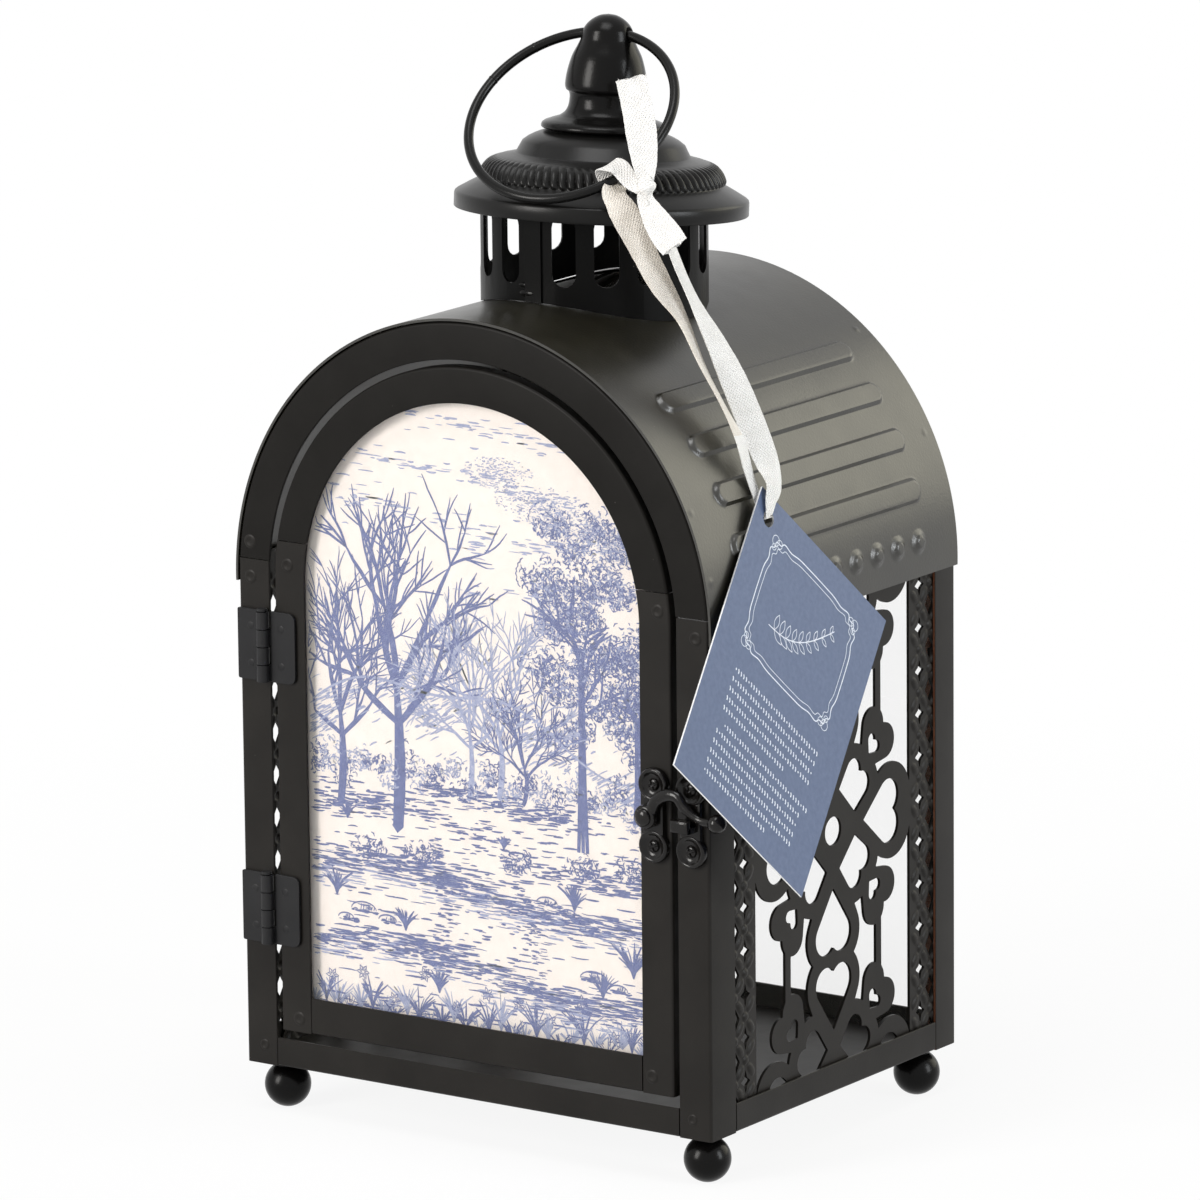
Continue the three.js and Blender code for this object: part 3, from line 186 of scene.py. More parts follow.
def paint(name, dark, light, rough, gloss, grain=0.00002, dust=True):
    """Sprayed paint on steel: a soft orange peel, cloudy gloss and a few specks of dust."""
    material, tree, shader = new_material(name)
    tone = ramp(tree, noise(tree, 55, 4), [(0.35, dark), (0.7, light)])
    if dust:
        place = node(tree, "ShaderNodeTexCoord").outputs["Object"]
        cells = node(tree, "ShaderNodeTexVoronoi", {"Vector": place, "Scale": 240})
        speck = ramp(tree, cells.outputs["Distance"], [(0, (1, 1, 1)), (0.045, (0, 0, 0))])
        rare = ramp(tree, noise(tree, 90, 2), [(0.6, (0, 0, 0)), (0.66, (0.55, 0.55, 0.55))])
        inputs = {0: maths(tree, "MULTIPLY", speck, rare), 6: tone, 7: DUST}
        tone = node(tree, "ShaderNodeMix", inputs, data_type="RGBA").outputs[2]
    cloudy = spread(tree, noise(tree, 120, 5), rough - 0.05, rough + 0.07)
    feed(tree, shader, {"Base Color": tone, "Roughness": cloudy, "Specular IOR Level": gloss})
    bump(tree, shader, noise(tree, 1500, 2), grain, 0.8)
    return material


DUST = (0.32, 0.3, 0.27, 1)
BLACK = paint("black_paint", (0.0105, 0.0092, 0.008), (0.0155, 0.0138, 0.012), 0.4, 0.15)
# A darker copy of the black paint for the front and door arches: painted shade
SHADED_ARCH_BLACK = paint("arch_paint_painted_shade", (0.006, 0.0053, 0.0045), (0.009, 0.0082, 0.0072), 0.42, 0.1)
# A darker copy of the black paint for the chimney tube: painted shade
SHADED_CHIMNEY_BLACK = paint("chimney_paint_painted_shade", (0.003, 0.003, 0.0029), (0.0045, 0.0044, 0.0043), 0.34, 0.07)
# The roof paint's olive tint is a painted reflection of warm surroundings
ROOF_BLACK_OLIVE_REFLECTION = paint("roof_paint_olive_reflection", (0.009, 0.008, 0.005), (0.0155, 0.014, 0.0085), 0.31, 0.75, 0.00005)
CAP_BLACK = paint("cap_paint", (0.004, 0.0038, 0.0036), (0.0065, 0.0062, 0.0058), 0.3, 0.2)
CAST = paint("cast_paint", (0.0025, 0.0023, 0.0022), (0.004, 0.0037, 0.0035), 0.22, 0.13, 0.00003, False)
LATCH_TONES = (0.005, 0.0043, 0.004), (0.008, 0.007, 0.0064)
LATCH_BLACK = paint("latch_paint", *LATCH_TONES, 0.16, 0.27, 0.00003, False)
WIRE_TONES = (0.003, 0.003, 0.0028), (0.005, 0.0048, 0.0045)
WIRE_BLACK = paint("wire_paint", *WIRE_TONES, 0.24, 0.18, 0.00001, False)
HINGE = paint("hinge_paint", (0.0115, 0.0115, 0.0125), (0.017, 0.017, 0.018), 0.42, 0.2)
PRIMER = paint("rust_primer", (0.14, 0.045, 0.02), (0.2, 0.075, 0.035), 0.62, 0.3, 0.00003)
ZINC = paint("zinc_plate", (0.3, 0.3, 0.29), (0.4, 0.39, 0.37), 0.4, 0.5, 0.00001, False)


def glass_material():
    material, tree, shader = new_material("window_glass")
    haze = spread(tree, noise(tree, 14, 2), 0.05, 0.075)
    feed(tree, shader, {"Base Color": (0.93, 0.97, 0.96, 1), "Roughness": 0.03, "Alpha": haze})
    return material


def mottled(name, cloud, stops, rough, grain=None):
    """A dry surface whose colour runs through the stops as its cloud does.

    cloud is a noise's scale and detail; rough is a number or a noise with its two ends;
    grain is a noise with its depth and strength.
    """
    material, tree, shader = new_material(name)
    tone = ramp(tree, noise(tree, *cloud), stops)
    if isinstance(rough, tuple):
        rough = spread(tree, noise(tree, *rough[:2]), *rough[2:])
    feed(tree, shader, {"Base Color": tone, "Roughness": rough})
    if grain:
        bump(tree, shader, noise(tree, *grain[:2]), *grain[2:])
    return material


def ink_material(name, *colours):
    return mottled(name, (900, 5), list(zip((0.32, 0.58, 0.8), colours)), (500, 3, 0.5, 0.7))


def plain_material(name, dark, light, rough):
    return mottled(name, (800, 4), [(0.3, dark), (0.7, light)], rough)


def cotton_material(name, dark, light):
    """Woven tape: the weave runs with the two numbers that the mesh carries, along and across."""
    material, tree, shader = new_material(name)
    place = node(tree, "ShaderNodeUVMap").outputs[0]
    waves = []
    for turn in (0.9, -0.9):
        slanted = node(tree, "ShaderNodeMapping", {"Vector": place, "Rotation": (0, 0, turn)})
        inputs = {"Vector": slanted.outputs[0], "Scale": 430, "Distortion": 2.2, "Detail": 2}
        waves.append(node(tree, "ShaderNodeTexWave", inputs).outputs[1])
    weave = maths(tree, "ADD", maths(tree, "MULTIPLY", *waves), noise(tree, 260, 4))
    inputs = {"Base Color": ramp(tree, weave, [(0.35, dark), (1, light)]), "Roughness": 0.9}
    feed(tree, shader, {**inputs, "Sheen Weight": 0.25, "Sheen Roughness": 0.5})
    bump(tree, shader, weave, 0.00022, 1)
    return material


GLASS = glass_material()
PAPER_TONES = [(0.3, (0.82, 0.735, 0.68)), (0.75, (0.87, 0.79, 0.735))]
PAPER = mottled("cream_paper", (420, 5), PAPER_TONES, 0.65, (2200, 3, 0.00002, 0.6))
INK = ink_material("blue_ink", (0.04, 0.06, 0.23), (0.065, 0.09, 0.28), (0.15, 0.18, 0.4))
INK_PALE = ink_material("pale_blue_ink", (0.23, 0.26, 0.44), (0.31, 0.34, 0.52), (0.45, 0.46, 0.58))
CARD_TONES = [(0.3, (0.07, 0.103, 0.195)), (0.55, (0.084, 0.12, 0.217)), (0.8, (0.1, 0.138, 0.24))]
CARD = mottled("blue_card", (700, 6), CARD_TONES, (900, 4, 0.36, 0.5), (2600, 4, 0.00003, 0.7))
CARD_PRINT = plain_material("card_print", (0.62, 0.68, 0.78), (0.8, 0.84, 0.9), 0.55)
CARD_EDGE = plain_material("card_core", (0.72, 0.73, 0.74), (0.85, 0.86, 0.87), 0.7)
COTTON = cotton_material("white_cotton", (0.79, 0.77, 0.74), (0.93, 0.92, 0.9))
# A darker, creamier cotton for the tape's other side: painted shade
SHADED_COTTON_BACK = cotton_material("cream_cotton_painted_shade", (0.66, 0.6, 0.52), (0.9, 0.85, 0.78))

# Mesh helpers; all points are in millimetres


def piece(name, points, faces, material, body, nodes=(), angle=35, shades=None, uv=None):
    """A visible object that rides on a body; shades gives each face its place in a material list."""
    mesh = bpy.data.meshes.new(name)
    mesh.from_pydata([Vector(p) * MM + SHIFT for p in points], [], faces)
    mesh.update()
    obj = bpy.data.objects.new(name, mesh)
    bpy.context.scene.collection.objects.link(obj)
    for one in material if isinstance(material, list) else [material]:
        mesh.materials.append(one)
    if shades is not None:
        mesh.polygons.foreach_set("material_index", shades)
    mesh.polygons.foreach_set("use_smooth", [True] * len(mesh.polygons))
    mesh.set_sharp_from_angle(angle=angle * RAD)
    if uv is not None:
        layer = mesh.uv_layers.new(name="weave")
        for loop in mesh.loops:
            layer.data[loop.index].uv = uv[loop.vertex_index]
    if body:
        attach(obj, body)
    if nodes:
        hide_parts(*nodes)
    return obj


def outward(points, faces):
    """Faces turned so that the closed mesh's volume is positive."""
    p = np.array([tuple(v) for v in points], float)
    volume = 0.0
    for face in faces:
        a = p[face[0]]
        for i in range(1, len(face) - 1):
            volume += float(np.dot(a, np.cross(p[face[i]], p[face[i + 1]])))
    return faces if volume > 0 else [tuple(reversed(face)) for face in faces]


def grid_faces(rows, columns, ring=False):
    """Faces between rows of points that run round; a ring's last row meets its first."""
    faces = []
    for i in range(rows if ring else rows - 1):
        step = ((i + 1) % rows - i) * columns
        for j in range(columns):
            a, b = i * columns + j, i * columns + (j + 1) % columns
            faces.append((a, b, b + step, a + step))
    return faces


def closed_shell(points, columns):
    """Rows of points that run round, with a face over each end."""
    rows = len(points) // columns
    faces = grid_faces(rows, columns)
    faces.append(tuple(range(columns)))
    faces.append(tuple((rows - 1) * columns + k for k in reversed(range(columns))))
    return points, outward(points, faces)


def circle(sides, radius=1.0, start=0.0):
    angles = [TAU * (k + start) / sides for k in range(sides)]
    return [(radius * math.cos(a), radius * math.sin(a)) for a in angles]


def ball_angles(rings, sides):
    """For each point of a ball, its angle from the pole and its angle round it."""
    return [(math.pi * (i + 0.5) / rings, TAU * j / sides) for i in range(rings) for j in range(sides)]


def turned_front(x, z, profile, sides, start=0.0, dent=None):
    """A closed shape round a line to the front; the profile gives radius and y."""
    points = []
    for r, y in profile:
        for u, v in circle(sides, r, start):
            points.append((x + u, y + (dent(u, v, y) if dent else 0), z + v))
    return closed_shell(points, sides)


def ribbon(line, reach):
    """Two points for each point of a flat line, one on each side, reach(share) away."""
    last = len(line) - 1
    made = []
    for i, (a, b) in enumerate(line):
        before, after = line[max(i - 1, 0)], line[min(i + 1, last)]
        da, db = after[0] - before[0], after[1] - before[1]
        w = reach(i / last) / (math.hypot(da, db) or 1)
        made += [(a + db * w, b - da * w), (a - db * w, b + da * w)]
    return made


def turned(points, angle, y, z):
    c, s = math.cos(angle), math.sin(angle)
    return [(y + a * c - b * s, z + a * s + b * c) for a, b in points]


def lathe(profile, segments, centre=(0, 0, 0), grow=None):
    """A closed profile of radius and height turned about Z; grow(row, angle) adds to the radius."""
    x, y, z = centre
    points = []
    for row, (r, height) in enumerate(profile):
        for j in range(segments):
            a = TAU * j / segments
            radius = r + (grow(row, a) if grow else 0)
            points.append((x + radius * math.cos(a), y + radius * math.sin(a), z + height))
    return points, outward(points, grid_faces(len(profile), segments, True))


def smooth_profile(points, per):
    """A Catmull-Rom curve through points of two or three numbers."""
    p = [np.array(q, float) for q in points]
    p = [2 * p[0] - p[1], *p, 2 * p[-1] - p[-2]]
    made = []
    for a, b, c, d in zip(p, p[1:], p[2:], p[3:]):
        for k in range(per):
            t = k / per
            square = (2 * a - 5 * b + 4 * c - d) * t * t
            cube = (3 * b - a - 3 * c + d) * t**3
            made.append(0.5 * (2 * b + (c - a) * t + square + cube))
    made.append(p[-2])
    return [tuple(q) for q in made]


def tube(path, radius, sides, closed=False):
    """A round tube along points; radius is a number or a list of one for each point."""
    p = [Vector(q) for q in path]
    n = len(p)
    radii = radius if isinstance(radius, list) else [radius] * n
    points = []
    normal = None
    for i in range(n):
        before = p[(i - 1) % n] if closed or i else p[0]
        after = p[(i + 1) % n] if closed or i < n - 1 else p[-1]
        along = (after - before).normalized()
        if normal is None:
            normal = along.orthogonal().normalized()
        normal = (normal - along * normal.dot(along)).normalized()
        side = along.cross(normal)
        points += [p[i] + (normal * u + side * v) * radii[i] for u, v in circle(sides)]
    if closed:
        return points, outward(points, grid_faces(n, sides, True))
    return closed_shell(points, sides)


def joined(*parts):
    points, faces = [], []
    for some_points, some_faces in parts:
        first = len(points)
        points += [tuple(p) for p in some_points]
        faces += [tuple(first + k for k in face) for face in some_faces]
    return points, faces


def mirrored(points, faces):
    return [(-p[0], p[1], p[2]) for p in points], [tuple(reversed(face)) for face in faces]


# The cotton tape and the tag on it

TAPE_W = 8.2
TAPE_T = 0.5
TAPE_FRONT = (0.56, -0.8, 0.21)


def tape_rows():
    def at_hole(up, out, back):
        return HOLE - TAG_DOWN * up + TAG_N * out + Vector((0, back, 0))

    to_side, down = (0.95, 0.1, 0.3), (0.22, 0, -0.98)
    outward_face, inward_face = tuple(TAG_N), tuple(-TAG_N)
    return [
        ((28.4, -30.6, 259.3), (0.7, -0.65, 0.21), 6.4),
        ((31.3, -31, 255.7), (0.8, -0.55, 0.21), TAPE_W),
        ((36.3, -31.1, 247.8), (0.91, -0.36, 0.2), TAPE_W),
        ((43.1, -31.6, 237.8), (0.96, -0.21, 0.19), TAPE_W),
        ((50.2, -31.6, 228.5), (0.97, 0.23, 0.12), TAPE_W),
        ((56.2, -31.8, 217.5), (0.92, 0.39, 0.09), TAPE_W),
        ((62.7, -31.6, 207.3), (0.9, 0.42, 0.09), 7.4),
        ((68.1, -31.7, 198.5), (0.97, 0.23, 0.12), 6),
        (at_hole(14.6, -2.1, -1.9), to_side, 4.6),
        (at_hole(9.5, -1.75, -1.5), to_side, 4),
        (at_hole(4.5, -1.25, -0.7), outward_face, 3.6),
        (at_hole(1.6, -0.95, 0), outward_face, 3.2),
        (at_hole(0.3, 0, 0), down, 3),
        (at_hole(1.6, 0.95, 0), inward_face, 3.2),
        (at_hole(4.5, 1.5, 0.9), inward_face, 4.6),
        (at_hole(8.6, 2, 3), inward_face, 6.8),
        ((72.4, -25.3, 192.4), (-0.92, 0.33, -0.2), 7.8),
        ((67.5, -24.6, 201.3), (-0.86, 0.47, -0.21), TAPE_W),
        ((62.4, -24.7, 211.6), (-0.89, 0.41, -0.21), TAPE_W),
        ((56.8, -25, 221.9), (-0.98, 0.09, -0.17), TAPE_W),
        ((51.1, -25.5, 231.4), (-0.97, -0.23, -0.12), TAPE_W),
        ((46.3, -25.6, 239.8), (-0.94, -0.31, -0.11), TAPE_W),
        ((42.9, -26.1, 247.7), (-0.94, -0.33, -0.11), TAPE_W),
        ((39.6, -26.2, 254.9), (-0.96, -0.26, -0.12), 6.4),
        (NEAR_KNOT, (-0.82, -0.57, -0.05), 3.4),
    ]


def tape_mesh(rows, per, across, curl, fray, seed):
    """A flat tape with a slightly cupped section and rounded selvedges."""
    line = [Vector(p) for p in smooth_profile([tuple(r[0]) for r in rows], per)]
    look = smooth_profile([r[1] for r in rows], per)
    wide = [w[0] for w in smooth_profile([(r[2], 0) for r in rows], per)]
    rng = random.Random(seed)
    over = [(2 * k / across - 1, 1) for k in range(across + 1)]
    section = over + [(s, -1) for s, _ in reversed(over)]
    points, uv = [], []
    run = 0.0
    last = len(line) - 1
    for i, here in enumerate(line):
        before = line[max(i - 1, 0)]
        along = (line[min(i + 1, last)] - before).normalized()
        side = along.cross(Vector(look[i])).normalized()
        out = side.cross(along).normalized()
        run += (here - before).length
        edge = wide[i] / 2 * (1 + rng.uniform(-0.012, 0.012))
        for s, face in section:
            thin = TAPE_T / 2 * (1 - 0.55 * abs(s) ** 6)
            cup = curl * edge * (s * s - 0.35)
            end = fray * rng.uniform(-1, 1) if i == last else 0
            points.append(here + side * (s * edge) + out * (face * thin + cup * 0.5) + along * end)
            uv.append((run * MM, s * edge * MM))
    return *closed_shell(points, len(section)), uv, line


def on_wire(degrees):
    a = degrees * RAD
    return RING_CENTRE + RING_U * (RING_R * math.sin(a)) + RING_DOWN * (RING_R * math.cos(a))


def by_knot(x, y, z):
    return KNOT + Vector((x, y, z))


def add_knot():
    """The turn of tape round the wire, the knot beside it and the end that stands up."""
    parts, uvs = [], []

    def strip(*form):
        points, faces, uv, _ = tape_mesh(*form)
        parts.append((points, faces))
        uvs.extend(uv)

    tangent = (on_wire(46) - on_wire(44)).normalized()
    front = Vector(TAPE_FRONT)
    front = (front - tangent * front.dot(tangent)).normalized()
    above = tangent.cross(front).normalized()
    if above.z < 0:
        above = -above
    # From behind the wire over it and down its front, then across to the knot
    turn = []
    for degrees, reach, slide, wide in (
        (215, 2.1, -0.6, 5.2),
        (170, 2.5, -0.5, 5.6),
        (130, 3.4, -0.2, 6.0),
        (98, 4.2, 0.3, 6.0),
        (66, 4.1, 1.5, 5.6),
        (36, 3.1, 3.2, 5.2),
    ):
        out = front * math.cos(degrees * RAD) + above * math.sin(degrees * RAD)
        turn.append((on_wire(44.5) + out * reach + tangent * slide, tuple(out), wide))
    turn.append((by_knot(-4.2, -1.2, 1.3), tuple(front), 4.6))
    turn.append((by_knot(-0.6, -1.4, -0.2), tuple(front), 4.2))
    strip(turn, 6, 8, 0.22, 0, 9)
    strand = [
        (on_wire(45.5) + Vector((0.5, 0.6, -1.2)), (0.6, -0.7, 0.4), 5.6),
        ((27.3, -30.2, 261.3), (0.66, -0.7, 0.24), 6.3),
        ((27.75, -30.5, 260.1), (0.7, -0.65, 0.21), 6.4),
        ((28.5, -30.61, 259.18), (0.7, -0.65, 0.21), 6.45),
    ]
    strip(strand, 4, 8, 0.16, 0, 3)
    lump = []
    sides = 26
    for v, a in ball_angles(18, sides):
        fold = 0.24 * math.sin(3 * a + 2.2 * math.cos(v)) + 0.18 * math.sin(5 * v + a)
        across, deep = math.sin(v) * math.cos(a), math.sin(v) * math.sin(a)
        r = 2.35 + fold
        lump.append(by_knot(1.05 * across * r, 0.9 * deep * r, 1.15 * math.cos(v) * r))
    parts.append(closed_shell(lump, sides))
    uvs += [((q - KNOT).x * MM, (q - KNOT).z * MM) for q in lump]
    end = [
        (by_knot(0, -0.6, 0), TAPE_FRONT, 4.2),
        (by_knot(0.1, -0.3, 2.6), TAPE_FRONT, 4.8),
        (by_knot(-0.7, 0.5, 6), (0.62, -0.76, 0.2), 6.6),
        (by_knot(-2.7, 2.2, 12.7), TAPE_FRONT, TAPE_W),
        (by_knot(-4.8, 3.6, 19.1), (0.5, -0.84, 0.2), TAPE_W),
        (by_knot(-7.9, 4.9, 27.7), TAPE_FRONT, TAPE_W),
    ]
    strip(end, 10, 10, 0.12, 0.5, 6)
    points, faces = joined(*parts)
    # The strand up from the knot takes the darker cotton too, a painted shade
    shades = [int(i == 1) for i, part in enumerate(parts) for _ in part[1]]
    cottons = [COTTON, SHADED_COTTON_BACK]
    knot = piece("tape_knot_and_end", points, faces, cottons, "ring", ["tape_knot"], 50, shades, uvs)
    return knot


def add_tape():
    per, across, strand_rows = 8, 6, 7
    points, faces, uv, path = tape_mesh(tape_rows(), per, across, 0.12, 0, 1)
    # The first strand shows its other side, in a darker, creamier cotton: painted shade
    strand_end = strand_rows * per * 2 * (across + 1)
    shades = [int(max(face) < strand_end) for face in faces]
    cottons = [COTTON, SHADED_COTTON_BACK]
    loop = piece("tape_loop", points, faces, cottons, "hung_tag", ["tag_tape"], 50, shades, uv)
    end_rows = [
        (by_knot(0.2, -0.9, -0.6), TAPE_FRONT, 3.6),
        (NEAR_KNOT, TAPE_FRONT, 4.6),
        ((39.9, -30.5, 256.7), (0.5, -0.84, 0.21), 6.2),
        ((43.3, -32.1, 254), (0.62, -0.75, 0.21), 7.6),
        ((46.9, -33.4, 251.2), (0.5, -0.84, 0.21), TAPE_W),
        ((49.6, -34.1, 249), TAPE_FRONT, 7.8),
    ]
    points, faces, uv, _ = tape_mesh(end_rows, 10, 10, 0.16, 0.5, 4)
    lower = piece("tape_lower_end", points, faces, COTTON, "hung_tag", (), 50, None, uv)
    length = sum((b - a).length for a, b in zip(path, path[1:])) * MM
    return loop, [lower, add_knot()], path, length


def add_tag():
    """The card: its face, its pale core at the edges and a plain sprig in a ruled frame."""
    inset, hole_radius, thick, sides = 6.2, 2.3, 0.5, 40
    ends = (63.5 - inset, 88.9 - inset)
    back = Vector((0, 1, 0))
    short = (back + TAG_DOWN).normalized()
    long = (TAG_DOWN - back).normalized()
    normal = short.cross(long)

    def place(a, b, c):
        return HOLE + short * a + long * b + normal * c

    def bearing(point):
        return math.atan2(point[1], point[0])

    hole = circle(sides, hole_radius)
    outer = []
    for point in hole:
        scale = min((end if at > 0 else -inset) / at for at, end in zip(point, ends) if abs(at) > 1e-9)
        outer.append((point[0] * scale, point[1] * scale))
    for corner in ((-inset, -inset), (ends[0], -inset), ends, (-inset, ends[1])):
        nearest = min(range(sides), key=lambda k: abs(bearing(corner) - bearing(outer[k])))
        outer[nearest] = corner
    points = [place(a, b, c) for c in (-thick / 2, thick / 2) for a, b in hole + outer]
    faces = []
    for k in range(sides):
        n = (k + 1) % sides
        faces.append((k, n, sides + n, sides + k))
        faces.append((2 * sides + k, 3 * sides + k, 3 * sides + n, 2 * sides + n))
        faces.append((sides + k, sides + n, 3 * sides + n, 3 * sides + k))
        faces.append((k, 2 * sides + k, 2 * sides + n, n))
    faces = outward(points, faces)
    shades = [0, 0, 1, 1] * sides
    tag = piece("tag_card", points, faces, [CARD, CARD_EDGE], "hung_tag", ["tag"], 30, shades)

    parts = []
    front = -(thick / 2 + 0.03)

    def stroke(line, wide):
        made = [place(a, b, front) for a, b in ribbon(line, lambda share: wide / 2)]
        starts = range(0, 2 * len(line) - 2, 2)
        parts.append((made, [(i, i + 1, i + 3, i + 2) for i in starts]))

    # Two ruled frames with rounded, looped corners, in the upper half of the card
    middle_x, middle_y, half_x, half_y = 25.5, 19.5, 21.5, 17.5
    for shrink, wide in ((0, 0.34), (1.5, 0.2)):
        line = []
        for k in range(161):
            t = TAU * k / 160
            c, s = math.cos(t), math.sin(t)
            wave = 1 + 0.02 * math.cos(16 * t)
            x = math.copysign(abs(c) ** 0.32, c) * (half_x - shrink) * wave
            y = math.copysign(abs(s) ** 0.32, s) * (half_y - shrink) * wave
            line.append((middle_x + x, middle_y + y))
        stroke(line, wide)
    for cx, cy in ((-1, -1), (1, -1), (1, 1), (-1, 1)):
        for turn in range(3):
            x = middle_x + cx * (half_x - 1.4 - 1.9 * (turn % 2))
            y = middle_y + cy * (half_y - 1.4 - 1.9 * (turn // 2))
            curl = circle(32, 1.5 - 0.3 * turn)
            stroke([(x + a, y + b) for a, b in curl + curl[:1]], 0.2)
    # A sprig: a curved stem and paired leaves
    stem = []
    for t in np.linspace(0, 1, 20):
        stem.append((middle_x - 13 + 26 * t, middle_y + 6 - 16 * t + 5 * math.sin(3 * t)))
    stroke(stem, 0.3)
    for k in range(2, 19, 2):
        size = 5.2 - 0.14 * k
        rim = [(t, math.sin(math.pi * t) * 0.2) for t in np.linspace(0, 1, 13)]
        rim = [(size * t, size * swell) for t, swell in rim + [(t, -swell) for t, swell in rim[::-1]]]
        for side in (-1, 1):
            stroke(turned(rim, side * 0.95 - 0.55, *stem[k]), 0.2)
    # Rows of small lozenges and dots on the lower half
    for row in range(11):
        first = 5.5 if row != 5 else 8
        y = 44.5 + 3.05 * row + (1.2 if row > 4 else 0)
        for k in range(33 if row not in (4, 10) else 24):
            x = first + 1.27 * k
            tall = 0.62 if (k * 7 + row * 3) % 5 else 0.25
            stroke([(x - 0.3 * tall, y - tall), (x + 0.18, y), (x + 0.3 * tall, y + tall)], 0.42)
    printed = piece("tag_print", *joined(*parts), CARD_PRINT, "hung_tag")
    return tag


loop, on_cord, tape_path, tape_length = add_tape()
card = add_tag()

# Sheet-metal frame members: an angle with a rolled outer bend


def angle_section(face, side, bend=0.9, steps=5):
    """An angle in two directions: its outer corner at 0, 0, one flange along each."""
    chamfer = 0.15
    points = []
    for k in range(steps + 1):
        a = math.pi + math.pi / 2 * k / steps
        points.append((bend + bend * math.cos(a), bend + bend * math.sin(a)))
    points += [(face - chamfer, 0), (face, chamfer), (face, SHEET - chamfer), (face - chamfer, SHEET)]
    inner = max(bend - SHEET, 0.12)
    for k in range(3):
        a = -math.pi / 2 - math.pi / 2 * k / 2
        points.append((SHEET + inner + inner * math.cos(a), SHEET + inner + inner * math.sin(a)))
    points += [(SHEET, side - chamfer), (SHEET - chamfer, side), (chamfer, side), (0, side - chamfer)]
    return points


def straight(section, start, end, one, two):
    """A section swept from start to end; its two numbers run along one and two."""
    points = []
    for origin in (start, end):
        points += [Vector(origin) + Vector(one) * a + Vector(two) * b for a, b in section]
    return closed_shell(points, len(section))


def arch_sweep(outer, face, depth, seam, y, into, segments=120):
    """An arch of the same angle: its face flange points to the centre, its side flange goes in."""
    section = angle_section(face, depth)
    points = []
    for i in range(segments + 1):
        for a, b in section:
            r = outer - a
            start = math.asin((seam - ARCH) / r)
            t = start + (math.pi - 2 * start) * i / segments
            points.append((r * math.cos(t), y + into * b, ARCH + r * math.sin(t)))
    return closed_shell(points, len(section))


def add_frame():
    body, door = "lantern_body", "door_leaf"
    top = SPRING - SEAT
    x, y = HALF_W, HALF_D
    flange, return_edge, rear_flange = 10.2, 11.9, 10
    for end, sy, face, side in (("front", -1, flange, return_edge), ("rear", 1, rear_flange, rear_flange)):
        for hand, sx in (("left", -1), ("right", 1)):
            start, stop = (sx * x, sy * y, BOTTOM), (sx * x, sy * y, top)
            points, faces = straight(angle_section(face, side), start, stop, (-sx, 0, 0), (0, -sy, 0))
            # Primer shows on the faces of the rear posts that look to the front
            shades = [0] * len(faces)
            for at, f in enumerate(faces):
                a, b, c = (Vector(points[k]) for k in f[:3])
                if sy > 0 and (b - a).cross(c - a).normalized().y < -0.9:
                    shades[at] = 1
            name = f"{end}_{hand}_post"
            piece(name + "_angle", points, faces, [BLACK, PRIMER], body, [name], 40, shades)
    rail = angle_section(7, 8)
    cross, rail_front, rail_rear = 66.55, -48.35, 50.25
    for name, start, end, inward in (
        ("front_rail", (-cross, -y, BOTTOM), (cross, -y, BOTTOM), (0, 1, 0)),
        ("rear_rail", (-cross, y, BOTTOM), (cross, y, BOTTOM), (0, -1, 0)),
        ("left_rail", (-x, rail_front, BOTTOM), (-x, rail_rear, BOTTOM), (1, 0, 0)),
        ("right_rail", (x, rail_front, BOTTOM), (x, rail_rear, BOTTOM), (-1, 0, 0)),
    ):
        piece(name + "_angle", *straight(rail, start, end, inward, (0, 0, 1)), BLACK, body, [name], 40)
    front = arch_sweep(HALF_W, flange, return_edge, SPRING, -y, 1)
    # The front arch takes the darker copy of the black paint, a painted shade
    piece("front_arch_angle", *front, SHADED_ARCH_BLACK, body, ["front_arch"], 40)
    rear = arch_sweep(HALF_W, rear_flange, rear_flange, SPRING, y, -1)
    piece("rear_arch_angle", *rear, BLACK, body, ["rear_arch"], 40)
    # The door's stiles bend into its arch, above the arch's centre
    stile = angle_section(DOOR_FACE, DOOR_RETURN, 0.8)
    for hand, sx in (("left", -1), ("right", 1)):
        points = []
        for z in (DOOR_BOTTOM, *np.linspace(ARCH, DOOR_SEAM, 7)):
            for a, b in stile:
                reach = math.sqrt((DOOR_R - a) ** 2 - max(z - ARCH, 0) ** 2)
                points.append((sx * reach, FRONT + b, z))
        name = f"door_{hand}_stile"
        piece(name + "_angle", *closed_shell(points, len(stile)), BLACK, door, [name], 40)
    arch = arch_sweep(DOOR_R, DOOR_FACE, DOOR_RETURN, DOOR_SEAM + SEAT, FRONT, 1)
    # The door's arch takes the darker copy of the black paint, a painted shade
    piece("door_arch_angle", *arch, SHADED_ARCH_BLACK, door, ["door_arch"], 40)
    half = DOOR_R - DOOR_FACE - SEAT
    upright = [(b, a) for a, b in stile]
    start, end = (-half, FRONT, DOOR_BOTTOM), (half, FRONT, DOOR_BOTTOM)
    bottom = straight(upright, start, end, (0, 1, 0), (0, 0, 1))
    piece("door_bottom_rail_angle", *bottom, BLACK, door, ["door_bottom_rail"], 40)


